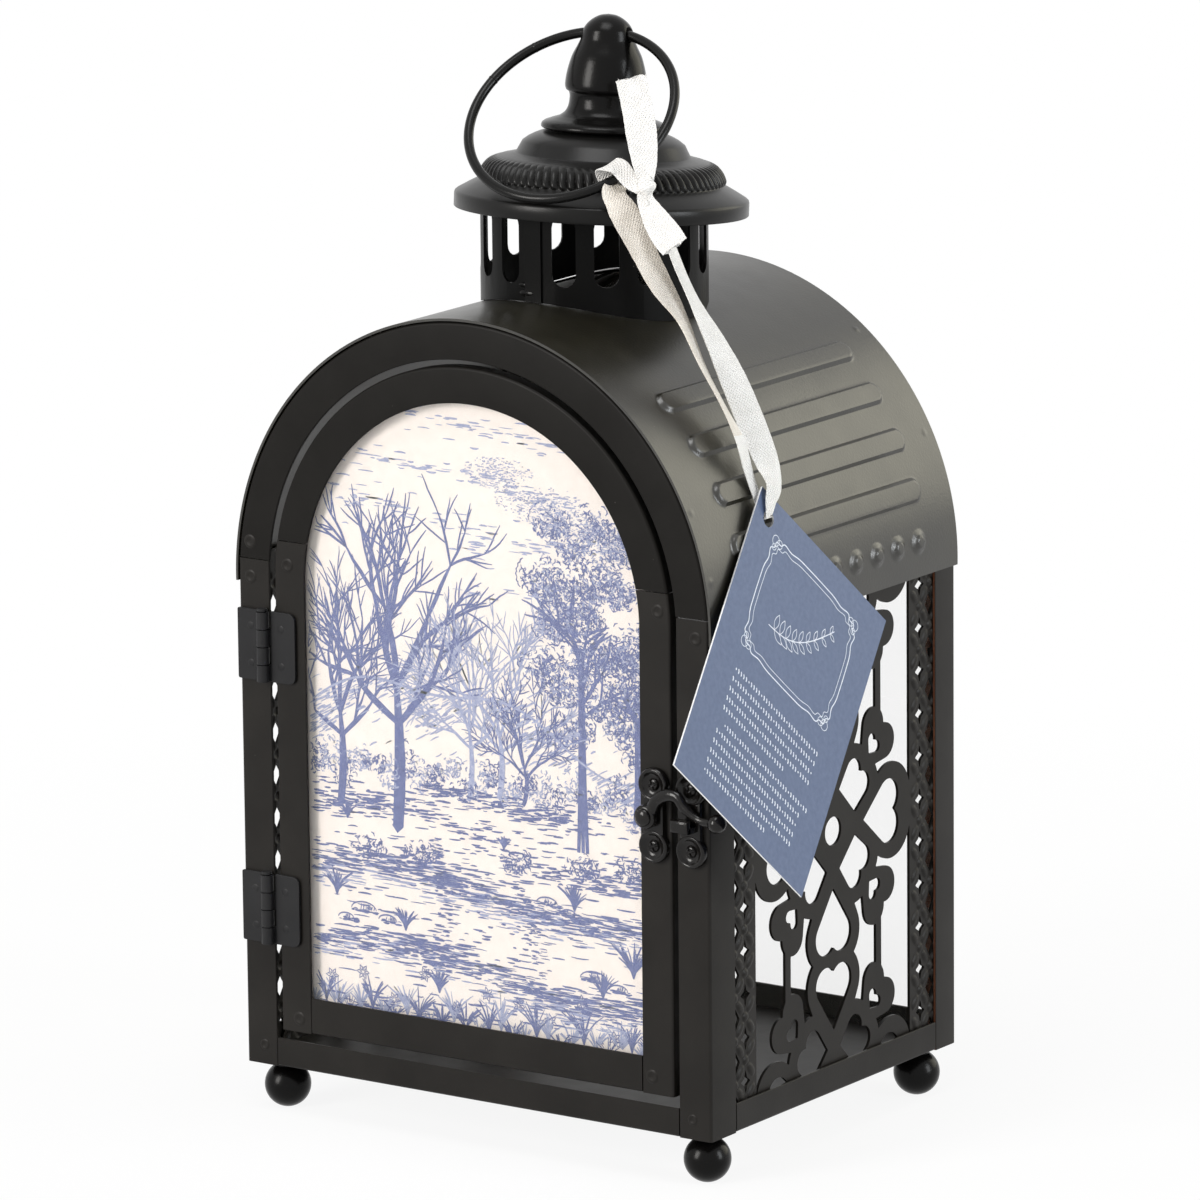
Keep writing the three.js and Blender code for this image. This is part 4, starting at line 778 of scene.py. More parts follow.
def add_weld_marks():
    """The small dents that spot welding leaves, a ring of raised paint round each."""

    def mark(x, z, r=1.5):
        rows = ((0.05, 0.02), (0.45, 0.02), (0.75, 0.16), (1.0, 0.2), (1.3, 0.02), (1.4, -0.1))
        return turned_front(x, z, [(r * share, FRONT - high) for share, high in rows], 14)

    body = [mark(-73, 150.5), mark(73, 150.5), mark(-73, 160.3), mark(71, 19, 1.2), mark(-71, 19, 1.2)]
    piece("frame_weld_marks", *joined(*body), BLACK, "lantern_body", (), 50)
    door = [mark(-60.5, 155), mark(61, 156.5), mark(-59, 28), mark(58, 29)]
    piece("door_weld_marks", *joined(*door), BLACK, "door_leaf", (), 50)


add_frame()
add_weld_marks()

# Roof, chimney, cap, finial, ring and feet


def soft_step(value):
    """0 to 1 with soft ends."""
    share = min(max(value, 0), 1)
    return share * share * (3 - 2 * share)


def roof_height(angle, y):
    """Relief of the pressed sheet, in millimetres outward, at an angle above the horizontal."""
    degrees = min(angle, math.pi - angle) / RAD

    def away(at, along):
        return math.hypot((degrees - at) * RAD * ROOF_OUT, along)

    high = 0.0
    rib_radius, rib_high, rib_edge = 3.6, 1.15, 1.15
    rib_end = HALF_D - 14.5 - rib_radius
    for k in range(4):
        distance = away(16.2 + 10.55 * k, max(abs(y) - rib_end, 0))
        high = max(high, rib_high * soft_step((rib_radius - distance) / rib_edge))
    # Flat-topped buttons on low steps, in a row along the eaves
    for k in range(-4, 5):
        distance = away(5.8, y - 10.3 * k)
        button, step = soft_step((2.35 - distance) / 0.9), soft_step((3.4 - distance) / 0.7)
        high = max(high, 0.85 * button + 0.4 * step)
    # Spot welds near the two ends
    for at, from_front in ((25, 2.0), (11, 2.2), (52, 116.5), (26.5, 117)):
        high = max(high, 0.22 * (1 - away(at, y + HALF_D - from_front) / 1.3))
    return high


def add_roof():
    low = -math.asin(1.8 / ROOF_OUT)
    relief_end, relief_step, plain_step = 54 * RAD, 0.34 * RAD, 2 * RAD
    angles = []
    a = low
    while a < math.pi - low:
        angles.append(a)
        a += relief_step if min(a, math.pi - a) < relief_end else plain_step
    angles.append(math.pi - low)
    columns = 252
    ys = np.linspace(-HALF_D, HALF_D, columns)
    rows = len(angles)
    points, faces = [], []
    for outside in (True, False):
        for angle in angles:
            for y in ys:
                r = ROOF_OUT + roof_height(angle, y) if outside else ROOF_IN
                points.append((r * math.cos(angle), y, ARCH + r * math.sin(angle)))
    count = rows * columns
    vent, vent_above = 27.5, ARCH + 40

    def open_at(a, c):
        (x, y, z), (x2, y2, _) = points[a], points[c]
        return z > vent_above and math.hypot((x + x2) / 2, (y + y2) / 2) < vent

    for i in range(rows - 1):
        for j in range(columns - 1):
            a = i * columns + j
            b, d = a + 1, a + columns
            c = d + 1
            if not open_at(a, c):
                faces.append((a, d, c, b))
                faces.append((count + a, count + b, count + c, count + d))
    for i in range(rows - 1):
        a, d = i * columns, (i + 1) * columns
        faces.append((a, count + a, count + d, d))
        a, d = a + columns - 1, d + columns - 1
        faces.append((d, count + d, count + a, a))
    for j in range(columns - 1):
        faces.append((j, j + 1, count + j + 1, count + j))
        a = (rows - 1) * columns + j
        faces.append((a + 1, a, count + a, count + a + 1))
    # The roof sheet's olive-tinted black carries a painted reflection
    piece("roof_sheet", points, faces, ROOF_BLACK_OLIVE_REFLECTION, "lantern_body", ["roof"], 40)


def add_chimney_weld():
    """The crimped tab at the foot of the tube's seam, as three flat lumps."""
    angle = -90.5 * RAD
    sides = 16
    out = Vector((math.cos(angle), math.sin(angle), 0))
    side = Vector((-out.y, out.x, 0))
    parts = []
    for dx, z, r in ((0.0, 231.2, 1.9), (-1.2, 233.4, 1.2), (1.5, 230.2, 1.0)):
        centre = out * (CHIMNEY_R + 0.1) + side * dx + Vector((0, 0, z))
        points = []
        for v, a in ball_angles(8, sides):
            across, up = 1.5 * math.sin(v) * math.cos(a), 0.55 * math.sin(v) * math.sin(a)
            points.append(centre + (side * across + Vector((0, 0, up)) + out * (0.35 * math.cos(v))) * r)
        parts.append(closed_shell(points, sides))
    piece("chimney_weld", *joined(*parts), CAST, "lantern_body", (), 60)


def add_cap():
    """The spun cap with its band of slanted ribs."""
    dome_r, stud_r, dome_foot, dome_high = 23.6, 2.25, 15.4, 7.9
    dome = []
    for k in range(15):
        r = dome_r * (1 - k / 14) + stud_r * (k / 14)
        curve = math.sqrt(max(0.0, 1 - (r / dome_r) ** 2.2))
        dome.append((r, dome_foot + dome_high * curve))
    outer = [(40, 0.15), (40, 3.5), (39.85, 4.05), (39.3, 4.5), (36.4, 6.2), (33.9, 7.55), (33.35, 7.9)]
    band = [(33.2, 8.1), (33.0, 9.2), (32.2, 11.0), (31.0, 12.5), (29.8, 13.4), (28.6, 13.9)]
    band = smooth_profile(band, 3)
    after = [(28.1, 14.1), (27.2, 14.3), (25.6, 14.7), (24.1, 15.1)]
    inner = [(stud_r, 22.5), (11.8, 20.9), (18, 18.3), (22.8, 14.76), (27.8, 13.2), (31.6, 7.6)]
    inner += [(39.2, 3.3), (39.2, 0.0), (39.85, 0.0)]
    first, last = len(outer), len(outer) + len(band)
    ribs = 83

    def grow(row, angle):
        """Round ribs with narrow valleys between them, leaning a little as they rise."""
        if not first <= row < last:
            return 0
        share = (row - first) / (last - 1 - first)
        slant = 0.075 * (share - 0.5)
        ridge = abs(math.sin(ribs / 2 * (angle + slant))) ** 0.75
        swell = min(1, 4.5 * share) ** 0.5 * min(1, 3 * (1 - share)) ** 0.7
        return (1.15 * ridge - 0.52) * swell

    points, faces = lathe(outer + band + after + dome + inner, ribs * 10, (0, 0, 0), grow)
    points = [CROWN_PLACE @ Vector(p) for p in points]
    piece("cap_spun", points, faces, CAP_BLACK, "lantern_body", ["cap"], 50)


def add_finial():
    """The turned finial, bored across for the ring."""
    flange = [(17.15, -1.25), (17.2, -0.75), (16.95, -0.1), (16.2, 0.45), (14.6, 1.05), (12.4, 1.75)]
    neck = [(12.4, 1.75), (10.9, 2.9), (10.05, 4.5), (9.75, 6.3), (9.75, 7.6), (10.0, 8.5)]
    bulb = [(10.75, 9.0), (11.05, 9.9), (11.05, 11.2), (10.8, 13.2), (10.3, 15.5), (9.4, 18.4), (8.1, 21)]
    bulb += [(7.25, 22.9), (6.9, 24.5), (6.55, 25.7), (5.6, 27.1), (4.1, 28.4), (2.2, 29.35)]
    bulb.append((0.02, FINIAL_HEIGHT))
    profile = [(0.02, -12), (2, -12), (2, 0), (11.1, 0), (15.6, -1.3), (16.8, -1.5)]
    profile += flange + smooth_profile(neck, 4)[1:] + smooth_profile(bulb, 6)
    points, faces = lathe(profile, 128, (0, 0, FINIAL_BASE))
    points = [CROWN_PLACE @ Vector(p) for p in points]
    finial = piece("finial_turned", points, faces, CAST, "lantern_body", ["finial"], 50)
    bore_radius, bore_reach = 2.05, 14
    bore = tube([RING_AXIS + RING_U * s for s in (-bore_reach, bore_reach)], bore_radius, 24)
    cutter = piece("finial_bore", *bore, CAST, None)
    cut = finial.modifiers.new("bore", "BOOLEAN")
    cut.object = cutter
    cut.operation = "DIFFERENCE"
    cut.solver = "EXACT"
    bpy.context.view_layer.update()
    evaluated = finial.evaluated_get(bpy.context.evaluated_depsgraph_get())
    shape = bpy.data.meshes.new_from_object(evaluated)
    finial.modifiers.clear()
    finial.data = shape
    bpy.data.objects.remove(cutter)


def add_ring():
    sides, steps = 20, 144
    path = [on_wire(360 / steps * k) for k in range(steps)]
    parts = [tube(path, WIRE, sides, True)]
    # The butt joint and a nick: narrow collars of paint
    for degrees in (251, 222):
        at = [on_wire(degrees + d) for d in (-0.7, -0.35, 0, 0.35, 0.7)]
        parts.append(tube(at, [WIRE + d for d in (-0.02, 0.05, 0.09, 0.05, -0.02)], sides))
    piece("ring_wire", *joined(*parts), WIRE_BLACK, "ring", ["carrying_ring"], 60)


def add_feet():
    radius, flat, neck = 6.44, 1.9, 3.4
    in_x, in_y = HALF_W - 7.2, HALF_D - 8.7
    centre = math.sqrt(radius**2 - flat**2)
    start = math.asin(-centre / radius)
    end = math.acos(neck / radius)
    profile = [(0.02, 0)]
    for k in range(29):
        a = start + (end - start) * k / 28
        profile.append((radius * math.cos(a), centre + radius * math.sin(a)))
    profile += [(neck, BOTTOM - SEAT), (0.02, BOTTOM - SEAT)]
    for end, sy in (("front", -1), ("rear", 1)):
        for hand, sx in (("left", -1), ("right", 1)):
            ball = lathe(profile, 56, (sx * in_x, sy * in_y, 0))
            name = f"{end}_{hand}_foot"
            piece(name + "_ball", *ball, CAST, "lantern_body", [name], 50)


add_roof()
add_chimney_weld()
add_cap()
add_finial()
add_ring()
add_feet()

# The die-cut side panels: their outline and relief are sampled on a fine grid

FIELD = 38.05
FLOWER_Z = 86.0
PERIOD = 71.5
BAND = 4.1
MIDDLE = 0.95


def heart(tip, tip_half, lobe, lobe_at, lobe_side, steps):
    dx, dy = lobe_at - tip, lobe_side - tip_half
    reach = math.hypot(dx, dy)
    start = math.atan2(dy, dx) + math.asin(lobe / reach) + math.pi / 2
    cleft = math.atan2(-lobe_side, math.sqrt(lobe**2 - lobe_side**2))
    points = [(tip, tip_half)]
    for i in range(steps + 1):
        a = start + (cleft - start) * i / steps
        points.append((lobe_at + lobe * math.cos(a), lobe_side + lobe * math.sin(a)))
    kept = points[0 if tip_half else 1 : -1]
    return points + [(x, -y) for x, y in reversed(kept)]


def panel_parts():
    """The panel's ornament as polygons: bands of sheet, and the holes in them."""
    bands, holes = [], []
    side = (15, 0, 5, 27.5, 4)
    upright = (15.9, 0, 5, 29.1, 3.75)
    corner = (9.9, 5.6, 3.6, 17.5, 3)
    leaf_hole = (25.2, 0, 1.75, 28.9, 1.55)
    leaf_band = (19, 0, 5, 32.2, 3.8)
    quarter = math.pi / 2
    eye_band, eye_hole, tab_half = 7.6, 4.0, 6.2
    link_at, link_half, link_from = 22.4, 1.3, 28

    def grown(form, tip, reach=0):
        return (tip, form[1], form[2] + BAND + reach * 0.36, form[3] + reach, form[4])

    def bar(y0, y1, z0, z1):
        bands.append([(y0, z0), (y1, z0), (y1, z1), (y0, z1)])

    for n in (-1, 0, 1):
        z = FLOWER_Z + n * PERIOD
        for i in range(4):
            form = upright if i % 2 else side
            reach = 0 if i % 2 else 1.1
            straight_on, diagonal = i * quarter, (i + 0.5) * quarter
            for to, shape, steps, turn in (
                (bands, grown(form, 2, reach), 22, straight_on),
                (holes, form, 18, straight_on),
                (bands, grown(corner, 5), 18, diagonal),
                (holes, corner, 14, diagonal),
                (bands, leaf_band, 16, diagonal),
                (holes, leaf_hole, 10, diagonal),
            ):
                to.append(turned(heart(*shape, steps), turn, 0, z))
        bands.append([(y, z + up) for y, up in circle(40, eye_band)])
        holes.append([(y, z + up) for y, up in circle(40, eye_hole)])
        for s in (-1, 1):
            bar(*sorted((s * (FIELD + 1), s * (FIELD - 4))), z - tab_half, z + tab_half)
    for at in (-link_at, link_at):
        for n in (-1, 0):
            low = FLOWER_Z + n * PERIOD + link_from
            bar(at - link_half, at + link_half, low, low + PERIOD - 2 * link_from)
    return bands, holes


def distance_to(polygon, ys, zs):
    """Signed distance, negative inside, from grid points to a closed polygon."""
    p = np.array(polygon, float)
    q = np.roll(p, -1, axis=0)
    best = np.full(ys.shape, 1e9)
    inside = np.zeros(ys.shape, bool)
    for (ay, az), (by, bz) in zip(p, q):
        dy, dz = by - ay, bz - az
        t = np.clip(((ys - ay) * dy + (zs - az) * dz) / max(dy * dy + dz * dz, 1e-12), 0, 1)
        best = np.minimum(best, (ys - ay - t * dy) ** 2 + (zs - az - t * dz) ** 2)
        if az != bz:
            crosses = (zs < az) != (zs < bz)
            where = ay + (zs - az) / (bz - az) * dy
            inside ^= crosses & (ys < where)
    return np.where(inside, -1, 1) * np.sqrt(best)


def star(y, z, hollow):
    """A four-pointed star, or a plain lozenge."""
    wide, tall, waist = 2.3, 3.5, 0.42
    points = []
    for i in range(4):
        a = i * math.pi / 2
        points.append((y + wide * math.cos(a), z + tall * math.sin(a)))
        if hollow:
            half = a + math.pi / 4
            points.append((y + waist * wide * math.cos(half), z + waist * tall * math.sin(half)))
    return points


def panel_field():
    """On a grid over the panel, the distance to its edge (negative in the sheet) and its relief."""
    y0, y1, z0, z1, step = -59.35, 59.35, 14.65, 155.45, 0.34
    ny, nz = int((y1 - y0) / step) + 1, int((z1 - z0) / step) + 1
    ys, zs = np.meshgrid(np.linspace(y0, y1, ny), np.linspace(z0, z1, nz), indexing="ij")
    local = ys - MIDDLE
    high = np.zeros(ys.shape)
    beyond = 3.0

    def near(shape, size):
        p = np.array(shape)
        low, top = p.min(0) - size, p.max(0) + size
        i = np.where((local[:, 0] > low[0]) & (local[:, 0] < top[0]))[0]
        k = np.where((zs[0] > low[1]) & (zs[0] < top[1]))[0]
        if not len(i) or not len(k):
            return None
        return slice(i[0], i[-1] + 1), slice(k[0], k[-1] + 1)

    def nearest(shapes, size):
        made = np.full(ys.shape, beyond)
        for shape in shapes:
            at = near(shape, size)
            if at:
                made[at] = np.minimum(made[at], distance_to(shape, local[at], zs[at]))
        return made

    def raise_at(y, z, wide, tall, turn, height):
        at = near([(y - 4, z - 4), (y + 4, z + 4)], 0.5)
        if at:
            a, b = local[at] - y, zs[at] - z
            c, s = math.cos(turn), math.sin(turn)
            u, v = (a * c + b * s) / tall, (-a * s + b * c) / wide
            swell = np.clip(1 - (u * u + v * v), 0, 1)
            high[at] = np.maximum(high[at], height * np.sqrt(swell))

    bands, holes = panel_parts()
    open_z = np.minimum(zs - (z0 + 4), (z1 - 4) - zs)
    field = np.minimum(FIELD - np.abs(local), open_z)
    solid = np.minimum(np.maximum(nearest(bands, 3), -4), field)
    cuts = np.maximum(nearest(holes, 3), -open_z)
    stars = []
    bead, leaf_wide, leaf_long = 1.25, 1.15, 2.3
    for side in (-1, 1):
        y, far = side * (FIELD + 5.2), side * (FIELD + 10.2)
        for row in range(-6, 7):
            z = FLOWER_Z + row * 12
            for star_y, star_z, hollow in ((y, z, True), (far, z + 6, False)):
                if z0 + 5 < star_z < z1 - 5:
                    stars.append(star(star_y, star_z, hollow))
            for bead_y, bead_z in ((y, z + 6), (far, z)):
                raise_at(bead_y, bead_z, bead, bead, 0, 0.55)
                for dy in (2.5, -2.5):
                    for dz in (3.0, -3.0):
                        turn = math.atan2(2 * dz, 2 * dy)
                        raise_at(bead_y + dy, bead_z + dz, leaf_wide, leaf_long, turn, 0.5)
    shape = np.maximum(solid, -np.minimum(cuts, nearest(stars, 2)))
    return ys, zs, shape, high


def add_panels():
    """Marching squares on the sampled outline gives the cut sheet; its relief stands out."""
    ys, zs, field, high = panel_field()
    ny, nz = field.shape
    thick = 0.8
    x_in = HALF_W - SHEET - SEAT - thick
    field = np.where(np.abs(field) < 1e-6, 1e-6, field)
    inside = field < 0
    made, points, faces = {}, [], []

    def vertex(key, y, z, h):
        """The number of a point on the outer face; the next number is the point behind it."""
        if key not in made:
            made[key] = len(points)
            points.append((x_in + thick + h, y, z))
            points.append((x_in + h * 0.8, y, z))
        return made[key]

    def corner(at):
        return vertex(at, ys[at], zs[at], high[at])

    def crossing(one, two):
        one, two = min(one, two), max(one, two)
        t = field[one] / (field[one] - field[two])
        y, z = (grid[one] + t * (grid[two] - grid[one]) for grid in (ys, zs))
        return vertex((one, two), y, z, high[one] * (1 - t) + high[two] * t)

    for i in range(ny - 1):
        for j in range(nz - 1):
            ring = ((i, j), (i + 1, j), (i + 1, j + 1), (i, j + 1))
            if not any(inside[at] for at in ring):
                continue
            loop, leaving = [], []
            for one, two in zip(ring, ring[1:] + ring[:1]):
                if inside[one]:
                    loop.append(corner(one))
                if inside[one] != inside[two]:
                    if inside[one]:
                        leaving.append(len(loop))
                    loop.append(crossing(one, two))
            if len(loop) < 3:
                continue
            faces.append(tuple(loop))
            faces.append(tuple(v + 1 for v in reversed(loop)))
            for at in leaving:
                a, b = loop[at], loop[(at + 1) % len(loop)]
                faces.append((a + 1, b + 1, b, a))
    rim = [((i, j), (i, j + 1), i > 0) for j in range(nz - 1) for i in (0, ny - 1)]
    rim += [((i, j), (i + 1, j), j == 0) for i in range(ny - 1) for j in (0, nz - 1)]
    for start, end, flip in rim:
        if inside[start] and inside[end]:
            a, b = corner(start), corner(end)
            faces.append((b, b + 1, a + 1, a) if flip else (a, a + 1, b + 1, b))
    piece("right_panel_cut", points, faces, BLACK, "lantern_body", ["right_side_panel"], 50)
    left = mirrored(points, faces)
    piece("left_panel_cut", *left, BLACK, "lantern_body", ["left_side_panel"], 50)


add_panels()

# The printed liner, the latch, the rivets and the solids that stay in view


def add_print():
    """A woodland in blue lines: trees, hills, a brook, stones and grass."""
    rng = random.Random(11)
    points, faces, tones = [], [], []
    ink_y, layer = -57.1, 0.003
    left, right, low = -57, 57, 33

    def shows(x, z):
        reach = DOOR_R - DOOR_FACE + 1.5
        if z < ARCH:
            return z > DOOR_BOTTOM + DOOR_FACE - 2 and abs(x) < reach
        return math.hypot(x, z - ARCH) < reach

    def stroke(line, wide, tone=0, start=0.45):
        """A line of ink that swells in its middle, or from a trunk's foot thins to its end."""
        line = [p for p in line if shows(*p)]
        if len(line) < 2:
            return
        first = len(points)

        def reach(t):
            return wide * 0.62 * (start + (0.6 - start) * t + 0.5 * math.sin(math.pi * t))

        # Lines that cross lie a few thousandths apart
        y = ink_y - layer * (len(faces) * 7 % 31) - (0 if tone else 2 * layer)
        points.extend((x, y, z) for x, z in ribbon(line, reach))
        for k in range(first, len(points) - 2, 2):
            faces.append((k + 1, k, k + 2, k + 3))
            tones.append(tone)

    def scallop(x, z, size, turn, wide, tone):
        arc = [(x + size * math.cos(turn + a), z + size * math.sin(turn + a)) for a in (0, 0.9, 1.8)]
        stroke(arc, wide, tone)

    def leafage(x, z, wide, high, count, tone=0):
        """Small scallops, thicker in the shade at the lower right."""
        for _ in range(count):
            a, r = rng.uniform(0, TAU), rng.random() ** 0.55
            u, v = r * math.cos(a), r * math.sin(a)
            if rng.random() < 0.55 + 0.25 * u - 0.4 * v:
                size, turn = rng.uniform(0.45, 1.15), rng.uniform(0, TAU)
                scallop(x + wide * u, z + high * v, size, turn, rng.uniform(0.22, 0.46), tone)

    def branch(x, z, turn, length, wide, depth, tone=0):
        line = [(x, z)]
        for _ in range(5):
            turn += rng.uniform(-0.15, 0.15)
            x += length / 5 * math.cos(turn)
            z += length / 5 * math.sin(turn)
            line.append((x, z))
        stroke(line, wide, tone, 0.95)
        if depth == 0:
            return
        for k in range(3 if depth > 1 else 4):
            at = line[rng.choice((2, 3, 4, 5))] if k else line[-1]
            side = rng.choice((-1, 1)) * rng.uniform(0.22, 0.7) if k else rng.uniform(-0.25, 0.25)
            lift = 0.12 * (math.pi / 2 - turn)
            thin = max(wide * 0.62, 0.22)
            branch(*at, turn + side + lift, length * rng.uniform(0.6, 0.85), thin, depth - 1, tone)

    def bare_tree(x, z, trunk, reach, wide, tone=0):
        """A trunk that forks into a crown of ever finer twigs."""
        rise = [(x + 0.9 * math.sin(3 * t), z + trunk * t) for t in (0, 0.25, 0.5, 0.75, 1)]
        stroke([(x - wide * 0.5, z - 1)] + rise, wide, tone, 0.95)
        for k, turn in enumerate((0.1, -0.38, 0.48, -0.8, 0.85)):
            at = rise[4] if k < 3 else rise[3]
            branch(*at, math.pi / 2 + turn, reach * (1 if k < 3 else 0.8), wide * 0.55, 3, tone)

    def leafy_tree(x, z, tall, crown, tone=0):
        """A trunk with bark lines under a crown of round clumps."""
        for k in (-1, 0, 1):
            foot = x + 0.03 * crown * k
            bark = [(foot + 0.8 * k, z - 1.5), (foot, z + 0.2 * tall), (x + 0.5 * k, z + 0.62 * tall)]
            stroke(bark, 0.9, tone, 0.95)
        for k in range(7):
            turn = math.pi / 2 + (k - 3) * 0.3
            branch(x, z + tall * (0.4 + 0.04 * k), turn, crown * 0.6, 0.7, 1, tone)
        for k in range(17):
            a, r = 2.4 * k, 0.9 * (k / 17) ** 0.5
            wide = crown * rng.uniform(0.26, 0.4)
            cx = x + crown * r * math.cos(a)
            cz = z + tall * 0.72 + 0.42 * tall * r * math.sin(a)
            leafage(cx, cz, wide, wide * 0.8, int(wide * wide * 6.2), tone)
            leafage(cx, cz, wide, wide * 0.8, int(wide * wide * 2.5), 1)
            for _ in range(int(wide * 2.2)):
                b = rng.uniform(0, TAU)
                scallop(cx + wide * math.cos(b), cz + 0.8 * wide * math.sin(b), 1.1, b - 0.9, 0.34, tone)

    def hatch(x0, x1, z0, z1, count, amount, tone=0, long=(1.5, 6), slope=0.0, wide=(0.2, 0.5)):
        """Near level lines where the function amount(x, z) says so."""
        for _ in range(count):
            x, z = rng.uniform(x0, x1), rng.uniform(z0, z1)
            if rng.random() < amount(x, z):
                reach = rng.uniform(*long)
                sag = rng.uniform(-0.25, 0.25)
                line = []
                for t in (0, 0.33, 0.67, 1):
                    line.append((x + reach * t, z + slope * reach * t + sag * math.sin(math.pi * t)))
                stroke(line, rng.uniform(*wide), tone)

    def stipple(x, z, wide, high, count, tone=1):
        for _ in range(count):
            a, r = rng.uniform(0, TAU), rng.random() ** 0.6
            px, pz = x + wide * r * math.cos(a), z + high * r * math.sin(a)
            reach = rng.uniform(0.3, 0.9)
            stroke([(px, pz), (px + reach, pz + rng.uniform(-0.12, 0.2))], rng.uniform(0.25, 0.5), tone)

    def tuft(x, z, high, blades, tone=0):
        for _ in range(blades):
            lean = rng.uniform(-0.75, 0.75)
            tall = high * rng.uniform(0.55, 1)
            line = []
            for t in (0, 0.35, 0.7, 1):
                line.append((x + tall * lean * t**1.7, z + tall * t * (1 - 0.25 * abs(lean) * t)))
            stroke(line, rng.uniform(0.22, 0.42), tone, 0.9)

    def stone(x, z, wide):
        turns = [k * math.pi / 9 for k in range(10)]
        rim = [(x + wide * math.cos(a), z + 0.5 * wide * math.sin(a)) for a in turns]
        stroke(rim, 0.35)
        for k in range(int(wide * 5)):
            u = rng.uniform(-0.3, 1) * wide
            top = 0.5 * wide * math.sqrt(max(0, 1 - (u / wide) ** 2))
            stroke([(x + u, z), (x + u + 0.25, z + top * rng.uniform(0.3, 0.85))], rng.uniform(0.22, 0.42))
        hatch(x - wide, x + 1.1 * wide, z - 0.8, z, int(wide * 7), lambda a, b: 0.9, 0, (0.8, 2.4))

    def hill(x):
        return 118 + 9 * math.sin(0.043 * x + 2.3) + 3 * math.sin(0.11 * x)

    def streaks(beat, slant, edge, amount, rest):
        return lambda x, z: amount if math.sin(beat * z + slant * x) > edge else rest

    def hillside(x, z):
        return 0.75 if 0 < hill(x) - z < 3 + 9 * math.sin(0.09 * x) ** 2 else 0.04

    def meadow(x, z):
        rows = math.sin(0.37 * z + 0.9 * math.sin(0.055 * x))
        return max(0.07, 0.75 * rows * math.sin(0.05 * x + 0.11 * z) + 0.14)

    def brook(x, z):
        bend = 8 * math.sin(0.06 * (z - low)) - 6
        side = abs(x - bend) / (9 + 0.2 * (99 - z))
        return 0.1 if side < 0.75 else (0.75 if side < 1.05 else 0.0)

    def turf(x, z, shift=0):
        return max(0, math.sin(0.29 * z + shift + 1.3 * math.sin(0.045 * x)))

    # Sky: a stippled bank of cloud at the right and thin level cloud at the left
    for k in range(9):
        stipple(4 + 5.4 * k, 187 - 2.2 * k + 3 * math.sin(1.9 * k), 9, 4.2, 150)
    hatch(-50, 30, 168, 204, 900, streaks(0.45, 0.05, 0.55, 0.55, 0.03), 1, (1.5, 5))
    hatch(-10, 56, 150, 176, 500, streaks(0.5, -0.06, 0.6, 0.4, 0.02), 1, (1.5, 5))
    # Far hills with a hedge of round bushes along their foot
    hatch(left, right, 100, 130, 2600, hillside, 1, (1, 3.5), 0.55)
    stroke([(x, hill(x)) for x in range(left, right + 1, 2)], 0.5, 1, 0.9)
    for k in range(23):
        z, high = 102.5 + 2.4 * math.sin(2.3 * k), 4.6 + 1.6 * math.sin(1.3 * k)
        leafage(-55 + 5 * k, z, 4.2, high, 120, k % 2)
    # Bare trees, the pale ones far off, and two in leaf at the right
    for tree in (
        (7, 99, 16, 15, 1.2, 1),
        (-3, 97, 18, 13, 1.1, 1),
        (15, 98, 9, 10, 0.9),
        (-27, 86, 38, 23, 2.4),
        (-46, 91, 24, 17, 1.6),
    ):
        bare_tree(*tree)
    leafy_tree(34, 88, 88, 21)
    leafy_tree(52, 98, 44, 11)
    # Meadow, brook and bank
    hatch(left, right, 76, 99, 2700, meadow, 0, (1.2, 5), 0.04)
    hatch(left, right, 46, 92, 3600, brook, 0, (1, 3.4))
    hatch(left, right, low, 78, 4300, lambda x, z: 0.85 * turf(x, z) ** 2.2 + 0.05, 0, (1.5, 7))
    hatch(left, right, low, 78, 2600, lambda x, z: 0.5 * turf(x, z, 0.8), 1, (1.5, 6))
    stones = ((-39, 61, 4.2), (-31, 59, 3), (-45, 58, 2.6), (22, 71, 3.4), (29, 69, 2.4), (37, 52, 4.4))
    for place in (*stones, (45, 50, 3)):
        stone(*place)
    tufts = ((-48, 64, 9), (-25, 57, 7), (31, 70, 8), (50, 54, 11), (40, 47, 8), (-14, 41, 7), (8, 84, 4))
    for x, z, high in (*tufts, (-44, 86, 5)):
        tuft(x, z, high, 26)
    for k in range(30):
        high = 7 + 4 * math.sin(0.9 * k) ** 2
        tuft(-56 + 3.9 * k, 31.5 + 2 * math.sin(1.7 * k), high, 15, (k + 1) % 2)
    # Flowers of six petals in the foreground
    for k in range(11):
        x = -50 + 10.4 * k
        z = 41 + 4.5 * math.sin(2.6 * k)
        stroke([(x - 0.8, 31), (x, z)], 0.35)
        for j in range(6):
            a = TAU * j / 6 + k
            petal = []
            for r, s in ((0.4, 0), (1.3, 0.35), (2.1, 0), (1.3, -0.35), (0.4, 0)):
                petal.append((x + r * math.cos(a + s), z + r * math.sin(a + s)))
            stroke(petal, 0.32)
    for x in (-37, -20, 12, 34, 49):
        leafage(x, 81 + 0.05 * x, 5.5, 3.4, 170)
    printed = piece("liner_ink", points, faces, [INK, INK_PALE], "door_leaf", (), 35, tones)


def coat(name, material):
    """Gives a solid that stays in view its material."""
    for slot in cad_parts[name].material_slots:
        slot.material = material


